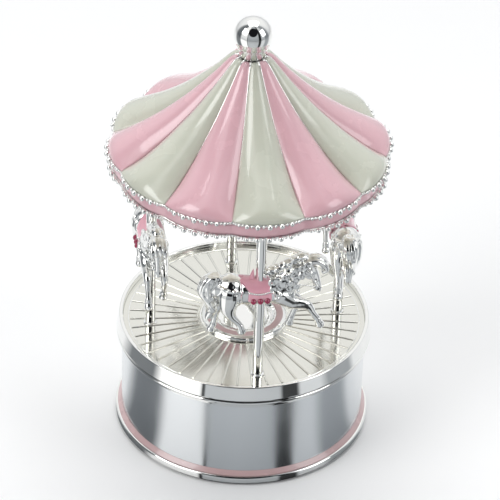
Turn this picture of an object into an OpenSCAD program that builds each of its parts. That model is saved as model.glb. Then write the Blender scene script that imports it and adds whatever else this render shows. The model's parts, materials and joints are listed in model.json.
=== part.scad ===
// Carousel music box: silver-plated drum with a turning platform, four horses on poles and a
// twelve-gore enamelled canopy. Units are millimetres, +Z is up, the underside rests on Z = 0.

/* [Base] */
// Largest radius of the foot flange
flange_r = 55.3; // [45:0.1:70]
// Outer radius of the drum wall
drum_r = 52.6; // [42:0.1:66]
// Thickness of the drum wall
drum_t = 1.4; // [0.8:0.1:3]
// Height of the top edge of the drum wall
drum_top = 40.6; // [30:0.5:60]
// Thickness of the felt ring under the flange
felt_t = 0.8; // [0.4:0.1:2]
// Height of the underside of the bottom plate, which is the depth of the key recess
recess_h = 12; // [9:0.5:16]

/* [Platform] */
// Radius of the platform lip at its top
lip_r = 54; // [44:0.1:68]
// Height of the top of the lip
lip_z = 51.8; // [45:0.1:70]
// Height of the mirror floor
floor_z = 49.4; // [43:0.1:66]
// Number of fine radial grooves in the floor
ray_count = 48; // [12:12:96]
// Outer radius of the raised ring at the centre of the floor
ring_r = 19; // [12:0.5:26]

/* [Poles and horses] */
// Radius of the circle the poles stand on
pole_circle = 40.8; // [30:0.5:48]
// Radius of a pole
pole_r = 2.3; // [1.5:0.1:3.5]
// Angle of the first pole from +X
phase = 9.1; // [0:0.1:89]
// Height of the middle of a horse's barrel
barrel_z = 93.3; // [80:0.1:105]
// Size of a horse against the size it is drawn at
horse_size = 1.07; // [0.8:0.01:1.2]

/* [Canopy] */
// Radius of the canopy edge in the middle of a gore
canopy_mid_r = 58.7; // [45:0.1:65]
// Radius of the canopy edge at a seam
canopy_seam_r = 57.1; // [42:0.1:62]
// Height of the canopy edge
edge_z = 138.3; // [110:0.1:145]
// Thickness of the enamel
enamel_t = 0.35; // [0.2:0.05:0.8]
// Radius of the finial ball
ball_r = 7.8; // [4:0.05:10]
// Height of the middle of the finial ball
ball_z = 192.1; // [160:0.1:200]

/* [Movement] */
// Teeth on the crown wheel that the spindle carries
crown_teeth = 48; // [36:12:60]
// Teeth on the cylinder pinion
pinion_teeth = 12; // [10:1:16]
// Height of the cylinder axis
cyl_z = 27.4; // [24:0.1:30]
// Radius of the tune cylinder
cyl_r = 6.5; // [5:0.1:7]
// Teeth of the comb
notes = 18; // [12:1:22]

/* [Hidden] */
$fa = 6;
$fs = 0.4;
gores = 12;
gore_a = 360 / gores;
// Gore centres: even ones (cream) stand over the poles.
first_gore = phase - 90;
run = 0.06;                        // radial running clearance of the small shafts
inside_r = drum_r - drum_t - 0.03; // plates that fill the drum
deck_z = 40.4;                     // underside of the fixed deck
bed_z = recess_h + 1.4;            // underside of the movement's bedplate
bed_top = bed_z + 1.6;
ceiling_z = 131;                   // underside of the ceiling plate
ceiling_t = 1.2;
rail_in = 54.6;                    // inside of the canopy's rim
flange_in = 50;                    // inner edge of the foot flange
wall_z = 5.9;                      // bottom of the drum wall
wall_in = drum_r - drum_t;
plate_t = 1.4;                     // bottom plate
floor_t = 1.6;                     // platform floor
floor_r = lip_r - 1.7;
deck_t = 1.2;
bush_r = 4.5;
stub_r = 1.6;                      // threaded ends of the poles
spindle_r = 2.2;
spindle_tip_r = 1.2;
spindle_top = floor_z - floor_t - 1.1;
key_arbor_r = 1.8;
cyl_arbor_r = 1;
gov_shaft_r = 0.6;
fan_shaft_r = 0.5;
bed_screw_r = 1.1;
comb_screw_r = 0.8;
hub_screw_r = 0.8;
hub_screw_circle = 7;
shell_bore_r = 2.2;                // hole in the crown of the canopy for the finial's stem
crown_z = 182.2;                   // flat crown of the canopy
finial_z = 182.6;                  // top of the washer between the crown and the finial

silver = [0.86, 0.87, 0.88];
steel = [0.62, 0.64, 0.66];
brass = [0.80, 0.66, 0.34];
rose = [0.93, 0.74, 0.78];
deep_rose = [0.92, 0.55, 0.67];
cream = [0.86, 0.86, 0.78];

// ---------- Drum (fixed) ----------

// Moulded foot of the drum; its sloping shoulder is sunk for the enamel.
module base_flange() color(silver)
    rotate_extrude($fn = 180)
        polygon([[flange_in, felt_t], [flange_r - 0.9, felt_t], [flange_r - 0.2, felt_t + 0.4],
            [flange_r, felt_t + 1], [flange_r, 2.9], [flange_r - 0.25, 3.8], [54.35, 4.55],
            [54.0, 4.2], [drum_r, 5.6], [drum_r, wall_z], [flange_in, wall_z]]);

// Rose enamel inlaid in the shoulder of the foot.
module base_enamel_ring() color(rose)
    rotate_extrude($fn = 180)
        polygon([[54.0, 4.2], [54.35, 4.55], [drum_r, 6.3], [drum_r, 5.6]]);

// Felt that the box stands on.
module felt_ring() color([0.12, 0.12, 0.13])
    difference() {
        cylinder(r = 53.9, h = felt_t, $fn = 120);
        translate([0, 0, -1]) cylinder(r = 50.4, h = felt_t + 2, $fn = 120);
    }

module drum_wall() color(silver)
    translate([0, 0, wall_z]) difference() {
        cylinder(r = drum_r, h = drum_top - wall_z, $fn = 180);
        translate([0, 0, -1]) cylinder(r = wall_in, h = drum_top, $fn = 180);
    }

// Coved moulding that closes the top of the drum just under the turning platform.
module drum_rim() color(silver)
    rotate_extrude($fn = 180)
        polygon([[wall_in, drum_top], [drum_r, drum_top], [drum_r + 0.2, drum_top + 0.8],
            [drum_r + 0.8, drum_top + 1.6], [drum_r + 1.6, drum_top + 2.1], [drum_r + 2.3, drum_top + 2.4],
            [drum_r + 2.45, drum_top + 2.8], [drum_r + 2.4, drum_top + 3.4], [drum_r + 1.9, drum_top + 3.9],
            [drum_r + 1, drum_top + 4.3], [drum_r - 0.2, drum_top + 4.3], [wall_in, drum_top + 3.9]]);

// Steel plate that closes the drum; the key turns in the recess below it.
module bottom_plate() color(silver)
    difference() {
        union() {
            translate([0, 0, recess_h]) cylinder(r = inside_r, h = plate_t, $fn = 120);
            translate([0, 0, recess_h - 3]) difference() {
                cylinder(r = inside_r, h = 3, $fn = 120);
                translate([0, 0, -1]) cylinder(r = wall_in - 1.2, h = 5, $fn = 120);
            }
        }
        translate([0, 0, recess_h - 1]) cylinder(r = 4.2, h = 4, $fn = 40);
        for (p = screw_spots()) translate([p[0], p[1], recess_h - 1])
            cylinder(r = bed_screw_r, h = 4, $fn = 24);
    }

// Places of the three screws that hold the movement to the bottom plate.
function screw_spots() = [[-9.5, -12.5], [20, 15.5], [38, -14]];

module bedplate_screws() color(steel)
    for (p = screw_spots()) translate([p[0], p[1], 0]) {
        translate([0, 0, recess_h - 1.2]) difference() {
            cylinder(r = 2.1, h = 1.2, $fn = 32);
            translate([-3, -0.25, -0.6]) cube([6, 0.5, 1.1]);
        }
        translate([0, 0, recess_h]) cylinder(r = bed_screw_r, h = 3, $fn = 24);
    }

// Four grub screws through the skirt of the bottom plate into the wall.
module bottom_screws() color(steel)
    for (a = [45:90:315]) rotate([0, 0, a]) translate([wall_in - 2.65, 0, recess_h - 1.6])
        rotate([0, 90, 0]) cylinder(r = 0.9, h = 1.4, $fn = 24);

// Fixed deck over the movement, with the spindle's bush in its middle.
module deck_plate() color(silver)
    translate([0, 0, deck_z]) difference() {
        cylinder(r = inside_r, h = deck_t, $fn = 120);
        translate([0, 0, -1]) cylinder(r = bush_r, h = 4, $fn = 48);
    }

module deck_bush() color(brass)
    difference() {
        union() {
            translate([0, 0, deck_z - 1]) cylinder(r = bush_r, h = 3.6, $fn = 48);
            translate([0, 0, deck_z - 1]) cylinder(r = bush_r + 1.3, h = 1, $fn = 48);
        }
        translate([0, 0, deck_z - 3]) cylinder(r = spindle_r + run, h = 8, $fn = 48);
    }

// ---------- Movement (fixed parts) ----------

module bedplate() color(brass)
    translate([0, 0, bed_z]) difference() {
        linear_extrude(1.6) polygon([[-14, -16], [40, -27], [46, -16], [46, 20], [-14, 20]]);
        translate([0, 0, -1]) cylinder(r = 2.6, h = 4, $fn = 40);
        for (p = screw_spots()) translate([p[0], p[1], -1]) cylinder(r = bed_screw_r, h = 4, $fn = 24);
    }

// Drum that holds the mainspring, round the winding arbor.
module spring_housing() color(silver)
    translate([0, 0, bed_top]) difference() {
        union() {
            cylinder(r = 9.6, h = 12.4, $fn = 72);
            cylinder(r = 10.2, h = 1.4, $fn = 72);
        }
        translate([0, 0, -1]) cylinder(r = key_arbor_r + run, h = 11, $fn = 32);
        translate([0, 0, 1.4]) cylinder(r = 8.6, h = 9.6, $fn = 72);
        translate([0, 0, 9]) cylinder(r = spindle_tip_r + run, h = 6, $fn = 32);
    }

// Bearing post between the cylinder and its pinion.
module bearing_near() color(brass)
    difference() {
        translate([13.4, -2.6, bed_top]) cube([1.2, 5.2, 14.2]);
        translate([12, 0, cyl_z]) rotate([0, 90, 0]) cylinder(r = cyl_arbor_r + run, h = 4, $fn = 24);
    }

// Far post, shared by the cylinder's arbor and the governor wheel's shaft.
module bearing_far() color(brass)
    difference() {
        translate([35, -3, bed_top]) cube([1.2, 14.2, 14.8]);
        translate([34, 0, cyl_z]) rotate([0, 90, 0]) cylinder(r = cyl_arbor_r + run, h = 4, $fn = 24);
        translate([34, gov_y, cyl_z]) rotate([0, 90, 0]) cylinder(r = gov_shaft_r + run, h = 4, $fn = 24);
    }

comb_x = [15.3, 33.7];              // the comb's two ends
comb_l = comb_x[1] - comb_x[0];
comb_pitch = comb_l / notes;
comb_back = -26;
comb_tip = -(cyl_r + 0.6);
comb_t = 0.9;
comb_screw_x = [18.5, 30.5];
comb_screw_y = -23;

module comb_base() color(brass)
    difference() {
        translate([comb_x[0] - 0.6, comb_back - 0.2, bed_top])
            cube([comb_l + 1.2, 6.4, cyl_z - comb_t / 2 - bed_top]);
        for (x = comb_screw_x) translate([x, comb_screw_y, cyl_z - 6])
            cylinder(r = comb_screw_r, h = 8, $fn = 24);
    }

// Steel comb: one tuned tooth for each note, bass teeth longest.
module comb() color(steel)
    translate([0, 0, cyl_z - comb_t / 2]) difference() {
        translate([comb_x[0], comb_back, 0]) cube([comb_l, comb_tip - comb_back, comb_t]);
        for (i = [1:notes - 1]) translate([comb_x[0] + i * comb_pitch - 0.1, -18.6 + 0.32 * i, -1])
            cube([0.2, 20, comb_t + 2]);
        for (x = comb_screw_x) translate([x, comb_screw_y, -1]) cylinder(r = comb_screw_r, h = 4, $fn = 24);
    }

module comb_screws() color(steel)
    for (x = comb_screw_x) translate([x, comb_screw_y, cyl_z + comb_t / 2]) {
        difference() {
            cylinder(r = 1.7, h = 1.1, $fn = 32);
            translate([-3, -0.22, 0.6]) cube([6, 0.44, 1]);
        }
        translate([0, 0, -5]) cylinder(r = comb_screw_r, h = 5, $fn = 24);
    }

// ---------- Governor ----------
gov_m = 0.35;                       // module of the spur pair
gear_teeth = 36;
gov_pinion_teeth = 12;
gov_y = gov_m * (gear_teeth + gov_pinion_teeth) / 2;
worm_wheel_teeth = 20;
worm_wheel_r = 4;
worm_starts = 2;
worm_r = 1.6;
worm_x = 40;
worm_y = gov_y + worm_wheel_r + worm_r;
worm_pitch = 2 * PI * worm_wheel_r / worm_wheel_teeth;
worm_l = 6;
worm_turn = 90;

// Frame that carries the far end of the governor wheel's shaft and both ends of the fan's shaft.
module governor_frame() color(silver)
    difference() {
        union() {
            translate([42, 5.6, bed_top]) cube([1.2, 13, 14.8]);
            translate([38, 17.4, bed_top]) cube([5.2, 1.2, 19.2]);
            translate([38, worm_y - 1.8, 19.4]) cube([5.2, 17.6 - worm_y + 1.8, 1.2]);
            translate([38, worm_y - 1.8, 33]) cube([5.2, 17.6 - worm_y + 1.8, 1.2]);
        }
        translate([41, gov_y, cyl_z]) rotate([0, 90, 0]) cylinder(r = gov_shaft_r + run, h = 4, $fn = 24);
        translate([worm_x, worm_y, 18]) cylinder(r = fan_shaft_r + run, h = 18, $fn = 24);
    }

// One straight-sided tooth, wide at the root, pointing along +Y of a gear drawn in XY.
module tooth2d(r_root, r_tip, w_root, w_tip)
    polygon([[-w_root / 2, r_root - 0.25], [w_root / 2, r_root - 0.25],
        [w_tip / 2, r_tip], [-w_tip / 2, r_tip]]);

module gear(n, r_root, r_tip, w_root, w_tip, h, turn = 0)
    linear_extrude(h) union() {
        circle(r = r_root, $fn = 96);
        for (i = [0:n - 1]) rotate(turn + i * 360 / n) tooth2d(r_root, r_tip, w_root, w_tip);
    }

// Stands a gear drawn in XY on the X axis, its +Y tooth pointing up.
module on_x(x) translate([x, 0, 0]) rotate([0, 90, 0]) rotate([0, 0, 90]) children();

module governor_wheel() color(brass)
    translate([0, gov_y, cyl_z]) {
        on_x(34.6) cylinder(r = gov_shaft_r, h = 9, $fn = 24);
        // A gap faces the cylinder's gear, which lies towards -Y.
        on_x(36.9) gear(gov_pinion_teeth, 1.62, 2.38, 0.6, 0.26, 0.9, 90 + 15);
        on_x(37.8) cylinder(r = 1.3, h = 1.8, $fn = 24);
        on_x(39.6) gear(worm_wheel_teeth, 3.55, 4.32, 0.56, 0.26, 0.8, 0);
    }

// Two-start worm with the air brake's blades on its shaft.
module governor_fan() color(steel)
    translate([worm_x, worm_y, 0]) {
        translate([0, 0, 18.4]) cylinder(r = fan_shaft_r, h = 20, $fn = 24);
        translate([0, 0, cyl_z - worm_l / 2])
            linear_extrude(worm_l, twist = -360 * worm_l / (worm_starts * worm_pitch), slices = 30)
                rotate(worm_turn) union() {
                    circle(r = 1.25, $fn = 12);
                    for (a = [0:360 / worm_starts:359]) rotate(a) polygon([[0, -0.62], [0.9, -0.62],
                        [1.85, -0.3], [1.85, 0.3], [0.9, 0.62], [0, 0.62]]);
                }
        translate([-4.4, -0.2, 35]) cube([8.8, 0.4, 3.2]);
        translate([0, 0, 34.6]) cylinder(r = 1, h = 3.8, $fn = 24);
    }

// ---------- Cylinder and its gears (turn together) ----------

// Brass tune cylinder with its steel pins, three to each tooth of the comb.
module tune_cylinder() color(brass)
    translate([0, 0, cyl_z]) difference() {
        union() {
            translate([15, 0, 0]) rotate([0, 90, 0]) cylinder(r = cyl_r, h = 19, $fn = 96);
            for (i = [0:notes - 1], k = [0:2])
                translate([comb_x[0] + (i + 0.5) * comb_pitch, 0, 0])
                    rotate([(i * 67 + k * 120 + (i % 3) * 17 + 11) % 360, 0, 0])
                        translate([0, 0, cyl_r - 0.5]) cylinder(r = 0.15, h = 0.85, $fn = 16);
        }
        translate([14, 0, 0]) rotate([0, 90, 0]) cylinder(r = cyl_arbor_r, h = 21, $fn = 24);
    }

module cylinder_arbor() color(steel)
    translate([0, 0, cyl_z]) {
        on_x(10.9) cylinder(r = cyl_arbor_r, h = 27.3, $fn = 24);
        on_x(11.5) gear(pinion_teeth, 2.4, 3.36, 0.66, 0.3, 1, 15);
        // A tooth faces the governor's pinion, towards +Y.
        on_x(36.8) gear(gear_teeth, 5.88, 6.62, 0.56, 0.26, 1, 90);
    }

// ---------- Spindle and crown wheel (turn with the platform) ----------

module crown_wheel() color(brass)
    difference() {
        union() {
            translate([0, 0, 31]) cylinder(r = 13.2, h = 1.2, $fn = 96);
            translate([0, 0, 32.2]) cylinder(r = 4.4, h = 2.2, $fn = 48);
            // Teeth point down at the pinion.
            for (i = [0:crown_teeth - 1]) rotate([0, 0, i * 360 / crown_teeth])
                translate([10.9, 0, 31.05]) rotate([90, 0, 90])
                    linear_extrude(2.2) polygon([[-0.33, 0], [0.33, 0], [0.17, -1.0], [-0.17, -1.0]]);
        }
        translate([0, 0, 28]) cylinder(r = spindle_r, h = 8, $fn = 48);
    }

module spindle() color(steel) {
    translate([0, 0, 31]) cylinder(r = spindle_r, h = spindle_top - 31, $fn = 48);
    translate([0, 0, 26.8]) cylinder(r = spindle_tip_r, h = 4.2, $fn = 32);
}

// Boss under the floor that takes the top of the spindle.
module hub() color(silver)
    difference() {
        union() {
            translate([0, 0, floor_z - floor_t - 1]) cylinder(r = 9, h = 1, $fn = 64);
            translate([0, 0, floor_z - floor_t - 2.2]) cylinder(r = 5, h = 2.2, $fn = 48);
        }
        translate([0, 0, 40]) cylinder(r = spindle_r, h = spindle_top - 40, $fn = 48);
        at_hub_screws(40) cylinder(r = hub_screw_r, h = 8, $fn = 24);
    }

module at_hub_screws(z)
    for (a = [0:120:240]) rotate([0, 0, a]) translate([hub_screw_circle, 0, z]) children();

module hub_screws() color(steel)
    at_hub_screws(floor_z - floor_t) {
        translate([0, 0, -2]) cylinder(r = 1.5, h = 1, $fn = 24);
        translate([0, 0, -1]) cylinder(r = hub_screw_r, h = 2, $fn = 24);
    }

// ---------- Platform ----------

skirt_z = drum_top + 4.7;            // lower edge of the skirt

module platform_skirt() color(silver)
    rotate_extrude($fn = 180)
        polygon([[53.4, skirt_z], [54.9, skirt_z], [55.05, skirt_z + 0.3], [54.9, skirt_z + 1],
            [lip_r + 0.1, lip_z - 0.7], [lip_r - 0.1, lip_z - 0.2], [lip_r - 0.6, lip_z],
            [lip_r - 1.2, lip_z], [lip_r - 1.6, lip_z - 0.3], [floor_r, floor_z],
            [floor_r, floor_z - floor_t], [53.4, floor_z - floor_t - 0.3]]);

module platform_floor() color(silver)
    difference() {
        translate([0, 0, floor_z - floor_t]) cylinder(r = floor_r - 0.02, h = floor_t, $fn = 180);
        for (i = [0:3]) at_pole(i) translate([0, 0, floor_z - 3]) cylinder(r = stub_r, h = 5, $fn = 32);
        at_hub_screws(floor_z - floor_t - 0.4) cylinder(r = hub_screw_r, h = 1.4, $fn = 24);
        // Fine rays pressed into the plate.
        for (i = [0:ray_count - 1]) rotate([0, 0, phase + (i + 0.5) * 360 / ray_count])
            translate([ring_r + 1, -0.2, floor_z - 0.2]) cube([29.4, 0.4, 1]);
    }

// Moulded ring on the middle of the floor.
module centre_ring() color(silver)
    translate([0, 0, floor_z]) rotate_extrude($fn = 144)
        polygon([[0, 0], [ring_r, 0], [ring_r, 0.7], [ring_r - 0.6, 1.3], [ring_r - 1.6, 1.9],
            [ring_r - 2.2, 2], [ring_r - 2.2, 1.6], [ring_r - 5, 1.6], [ring_r - 5, 2],
            [ring_r - 5.6, 2], [ring_r - 6.4, 1.5],
            [ring_r - 7.2, 0.6], [ring_r - 9, 0.4], [0, 0.4]]);

module centre_ring_enamel() color(rose)
    translate([0, 0, floor_z + 1.6]) difference() {
        cylinder(r = ring_r - 2.2, h = 0.4, $fn = 144);
        translate([0, 0, -1]) cylinder(r = ring_r - 5, h = 3, $fn = 144);
    }

// ---------- Poles ----------

module at_pole(i) rotate([0, 0, phase + 90 * i]) translate([pole_circle, 0, 0]) children();

// A rod with a thin collar at its foot and threaded ends through the floor and the ceiling.
module pole(i) color(silver) at_pole(i) {
    translate([0, 0, floor_z]) cylinder(r = pole_r, h = ceiling_z - floor_z, $fn = 48);
    translate([0, 0, floor_z]) cylinder(r = pole_r + 0.8, h = 0.7, $fn = 48);
    translate([0, 0, floor_z - 4.2]) cylinder(r = stub_r, h = 4.2, $fn = 32);
    translate([0, 0, ceiling_z]) cylinder(r = stub_r, h = 4.6, $fn = 32);
}
module pole_right() pole(0);
module pole_back() pole(1);
module pole_left() pole(2);
module pole_front() pole(3);

module nut(z) translate([0, 0, z]) difference() {
    cylinder(r = 3.4, h = 2, $fn = 6);
    translate([0, 0, -1]) cylinder(r = stub_r, h = 4, $fn = 32);
}
module pole_nuts_lower() color(steel) for (i = [0:3]) at_pole(i) nut(floor_z - 3.6);
module pole_nuts_upper() color(steel) for (i = [0:3]) at_pole(i) nut(ceiling_z + ceiling_t);

// ---------- Horses ----------
// Local frame: x outward, y forward (the way the carousel turns), z up from the floor.

// A limb from p to q, round at both ends.
module limb(p, q, r1, r2, n = 8) hull() {
    translate(p) sphere(r = r1, $fn = n);
    translate(q) sphere(r = r2, $fn = n);
}

module barrel(grow = 0) hull() {
    translate([0, -11, barrel_z + 0.6]) sphere(r = 6.2 + grow, $fn = 16);
    translate([0, -2, barrel_z - 0.2]) sphere(r = 5.6 + grow, $fn = 16);
    translate([0, 6.5, barrel_z + 0.6]) sphere(r = 5.9 + grow, $fn = 16);
}

// Head, neck, mane, legs and tail of a leaping horse.
module horse_outer() {
    z = barrel_z;
    // Neck, head and muzzle, chin tucked in.
    hull() {
        translate([0, 8, z + 1.5]) sphere(r = 5.2, $fn = 12);
        translate([0, 14.5, z + 8]) sphere(r = 3.6, $fn = 12);
    }
    limb([0, 14.5, z + 8], [0, 19.2, z + 9.6], 3.6, 2.7, 10);
    limb([0, 19.2, z + 9.6], [0, 22.2, z + 3.2], 2.7, 1.9, 10);
    limb([0, 22.2, z + 3.2], [0, 22.4, z + 0.2], 1.9, 1.6, 8);
    limb([1.3, 18.6, z + 11], [1.7, 19.2, z + 13.2], 0.9, 0.4, 6);
    limb([-1.3, 18.6, z + 11], [-1.7, 19.2, z + 13.2], 0.9, 0.4, 6);
    // Mane and forelock.
    limb([0, 8.5, z + 7.5], [0, 13, z + 11.4], 2.4, 2, 8);
    limb([0, 13, z + 11.4], [0, 18.6, z + 12.2], 2, 1.4, 8);
    limb([1.6, 20.4, z + 10.2], [2, 25, z + 8.6], 1.3, 1, 6);
    // Fore legs.
    limb([3, 9, z - 3.4], [3.2, 17, z - 5.8], 2.6, 1.6, 8);
    limb([3.2, 17, z - 5.8], [3.2, 21, z - 16.6], 1.5, 1.2, 8);
    limb([3.2, 21, z - 16.8], [3.2, 22.4, z - 19], 1.7, 2, 6);
    limb([-3, 8.5, z - 3.6], [-3.2, 14.6, z - 9.4], 2.6, 1.6, 8);
    limb([-3.2, 14.6, z - 9.4], [-3.2, 11, z - 17.6], 1.5, 1.2, 8);
    limb([-3.2, 11, z - 17.8], [-3.2, 10.4, z - 20], 1.7, 2, 6);
    // Hind legs.
    limb([-3.2, -13, z - 2], [-3.4, -17.6, z - 10.6], 4, 1.7, 8);
    limb([-3.4, -17.6, z - 10.6], [-3.4, -19.4, z - 18], 1.6, 1.3, 8);
    limb([-3.4, -19.4, z - 18.2], [-3.4, -20.6, z - 20.4], 1.7, 2, 6);
    limb([3.2, -11.5, z - 2.4], [3.4, -9.4, z - 11.2], 4, 1.7, 8);
    limb([3.4, -9.4, z - 11.2], [3.4, -8.4, z - 18], 1.6, 1.3, 8);
    limb([3.4, -8.4, z - 18.2], [3.4, -8, z - 20.4], 1.7, 2, 6);
    // Tail.
    limb([0, -16.4, z + 3.2], [0, -20.6, z + 4.6], 2, 2, 6);
    limb([0, -20.6, z + 4.6], [0, -23, z - 2], 2, 1.9, 6);
    limb([0, -23, z - 2], [0, -21.8, z - 9.4], 1.9, 1, 6);
}

// Makes a horse's pieces their full size about the middle of its barrel.
module full_size() translate([0, 0, barrel_z]) scale(horse_size) translate([0, 0, -barrel_z]) children();

module horse(i) color(silver) at_pole(i) difference() {
    full_size() {
        barrel();
        horse_outer();
    }
    translate([0, 0, barrel_z - 20]) cylinder(r = pole_r + 0.1, h = 40, $fn = 32);
}
module horse_right() horse(0);
module horse_back() horse(1);
module horse_left() horse(2);
module horse_front() horse(3);

// Saddle and its cloth: a skin over the barrel with scalloped points fore and aft.
module saddle(i) color(deep_rose) at_pole(i) difference() {
    full_size() difference() {
        intersection() {
            barrel(0.75);
            union() {
                translate([-9, -7.4, barrel_z - 0.4]) cube([18, 11.4, 12]);
                for (s = [-1, 1]) translate([s * 9, 0, barrel_z + 2.5]) rotate([0, 90 * s, 0])
                    linear_extrude(9, center = true)
                        polygon([[0, -8.6], [2.4, -5.4], [4.2, -5.4], [5, -1.7], [4.2, 3.4], [2.4, 3.8],
                            [0, 5.2], [-4, 4], [-4, -7.4]]);
            }
        }
        barrel(0.03);
        translate([0, 8, barrel_z + 1.5]) sphere(r = 5.4, $fn = 16);
    }
    translate([0, 0, barrel_z - 20]) cylinder(r = pole_r + 0.1, h = 40, $fn = 32);
}
module saddle_right() saddle(0);
module saddle_back() saddle(1);
module saddle_left() saddle(2);
module saddle_front() saddle(3);

gem_r = 1.35;
gem_pitch = 2.8;
gem_x = 6.6;
gem_y = -0.7;

// Three round stones set along the hem of the cloth, on the outer side.
module gems(i) color([0.62, 0.12, 0.28]) at_pole(i) full_size()
    for (k = [-1:1]) translate([gem_x, gem_y + gem_pitch * k, barrel_z - 2.4]) rotate([0, 90, 0])
        cylinder(r1 = gem_r, r2 = 0.7, h = 0.8, $fn = 12);
module gems_right() gems(0);
module gems_back() gems(1);
module gems_left() gems(2);
module gems_front() gems(3);

// ---------- Canopy ----------

module ceiling_plate() color(silver)
    translate([0, 0, ceiling_z]) difference() {
        cylinder(r = rail_in - 0.3, h = ceiling_t, $fn = 144);
        for (i = [0:3]) at_pole(i) translate([0, 0, -1]) cylinder(r = stub_r, h = 4, $fn = 32);
    }

// Profile of the canopy from its collar to its edge: [radius, height] at a seam and in the
// middle of a gore, and the lean of the surface's normal from level.
seam_line = [[5.6, crown_z], [8.6, 180.7], [15, 172.6], [23.4, 163.2], [31, 156], [38.3, 149.6],
    [46, 144], [53.8, 139.9], [56, 139], [canopy_seam_r, edge_z]];
mid_line = [[5.6, crown_z], [8.9, 181.5], [15.8, 173.8], [24.5, 165.2], [32.4, 158.4], [40.2, 152.7],
    [48.2, 147.8], [55.8, 143], [58, 140.9], [canopy_mid_r, edge_z]];
lean = [80, 62, 45, 45, 49, 55, 62, 50, 20, 0];
rings = len(seam_line);

// 0 at a seam, 1 in the middle of a gore.
function puff(u) = 1 - pow(abs(u), 2.2);
// Stations across a gore, from -1 to 1: rib edge, rib foot, enamel, rib foot, rib edge.
steps = 3;
function stations(r) = let (a = 0.3 / r * 57.3 / (gore_a / 2), b = 0.55 / r * 57.3 / (gore_a / 2))
    concat([-1 + a, -1 + b], [for (j = [1:steps * 2 - 1]) (j / steps - 1) * (1 - b)], [1 - b, 1 - a]);
per_gore = 2 * steps + 3;
function is_edge(j) = j == 0 || j == per_gore - 1;

// A point of the canopy: ring k, gore g, station value u, raised by d along the normal.
function roof_pt(k, g, u, d) = let (w = puff(u), s = seam_line[k], m = mid_line[k],
        r = s[0] + (m[0] - s[0]) * w + d * cos(lean[k]), z = s[1] + (m[1] - s[1]) * w + d * sin(lean[k]),
        a = first_gore + g * gore_a + u * gore_a / 2)
    [r * cos(a), r * sin(a), z];
function band_r(w) = canopy_seam_r + (canopy_mid_r - canopy_seam_r) * w;
function hem_z(w) = ceiling_z + 0.6 - w;
// A point of the upright band: t runs from the edge (0) to the hem (1).
function band_pt(t, g, u, d) = let (w = puff(u), r = band_r(w) - 1.1 * t * w - 0.3 + d,
        z = edge_z - 0.6 + (hem_z(w) - edge_z + 0.6) * t, a = first_gore + g * gore_a + u * gore_a / 2)
    [r * cos(a), r * sin(a), z];
// Section of the groove sunk round the band for its enamel, as [t, depth].
groove = [[0.1, 0], [0.12, -enamel_t], [0.88, -enamel_t], [0.9, 0]];
function round_pt(r, z, g, u) = let (a = first_gore + g * gore_a + u * gore_a / 2)
    [r * cos(a), r * sin(a), z];

// Faces between consecutive rings of m points each, the last ring joined to the first.
function tube_faces(n, m) = [for (k = [0:n - 1], i = [0:m - 1], h = [0, 1])
    let (j = (i + 1) % m, next = ((k + 1) % n) * m, a = k * m + i, b = k * m + j, c = next + i, d = next + j)
    h == 0 ? [a, c, b] : [b, c, d]];

// Cast shell: ribs stand up at the seams, the enamel lies between them, the rim hangs below.
module canopy_shell() color(silver) {
    m = gores * per_gore;
    outer = [for (k = [0:rings - 1], g = [0:gores - 1], j = [0:per_gore - 1])
        let (u = stations(seam_line[k][0])[j]) roof_pt(k, g, u, is_edge(j) ? 0 : -enamel_t)];
    wide = stations(canopy_seam_r);
    band_line = concat([[0, 0]], groove, [[1.06, 0]]);
    band = [for (q = band_line, g = [0:gores - 1], j = [0:per_gore - 1]) band_pt(q[0], g, wide[j], q[1])];
    lining = [[rail_in, ceiling_z - 0.8], [rail_in, ceiling_z + ceiling_t],
        [rail_in - 1.8, ceiling_z + ceiling_t], [44, 141], [35, 148], [22, 160.8], [8, 176.2],
        [shell_bore_r, 178.2], [shell_bore_r, crown_z]];
    inner = [for (q = lining, g = [0:gores - 1], j = [0:per_gore - 1]) round_pt(q[0], q[1], g, wide[j])];
    polyhedron(points = concat(outer, band, inner),
        faces = tube_faces(rings + len(band_line) + len(lining), m), convexity = 8);
}

// One enamel panel: its upper face is level with the ribs and runs out to nothing at them.
module enamel_panel(g) {
    m = per_gore;
    top = [for (k = [0:rings - 1], j = [0:m - 1]) roof_pt(k, g, stations(seam_line[k][0])[j], 0)];
    low = [for (k = [0:rings - 1], j = [1:m - 2]) roof_pt(k, g, stations(seam_line[k][0])[j], -enamel_t)];
    n = rings * m;
    function lo(k, j) = is_edge(j) ? k * m + j : n + k * (m - 2) + j - 1;
    faces = concat(
        [for (k = [0:rings - 2], j = [0:m - 2], h = [0, 1])
            let (a = k * m + j, b = a + 1, c = a + m, d = c + 1) h == 0 ? [a, c, b] : [b, c, d]],
        [for (k = [0:rings - 2], j = [0:m - 2], h = [0, 1])
            let (a = lo(k, j), b = lo(k, j + 1), c = lo(k + 1, j), d = lo(k + 1, j + 1))
            h == 0 ? [a, b, c] : [b, d, c]],
        [for (e = [0, rings - 1], j = [0:m - 2], h = [0, 1])
            let (a = e * m + j, b = a + 1, c = lo(e, j), d = lo(e, j + 1), t = h == 0 ? [a, b, c] : [b, d, c])
            if (t[0] != t[1] && t[1] != t[2] && t[0] != t[2]) e == 0 ? t : [t[0], t[2], t[1]]]);
    polyhedron(points = concat(top, low), faces = faces, convexity = 6);
}
module canopy_enamel_rose() color(rose) for (g = [1:2:gores - 1]) enamel_panel(g);
module canopy_enamel_cream() color(cream) for (g = [0:2:gores - 1]) enamel_panel(g);

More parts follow.
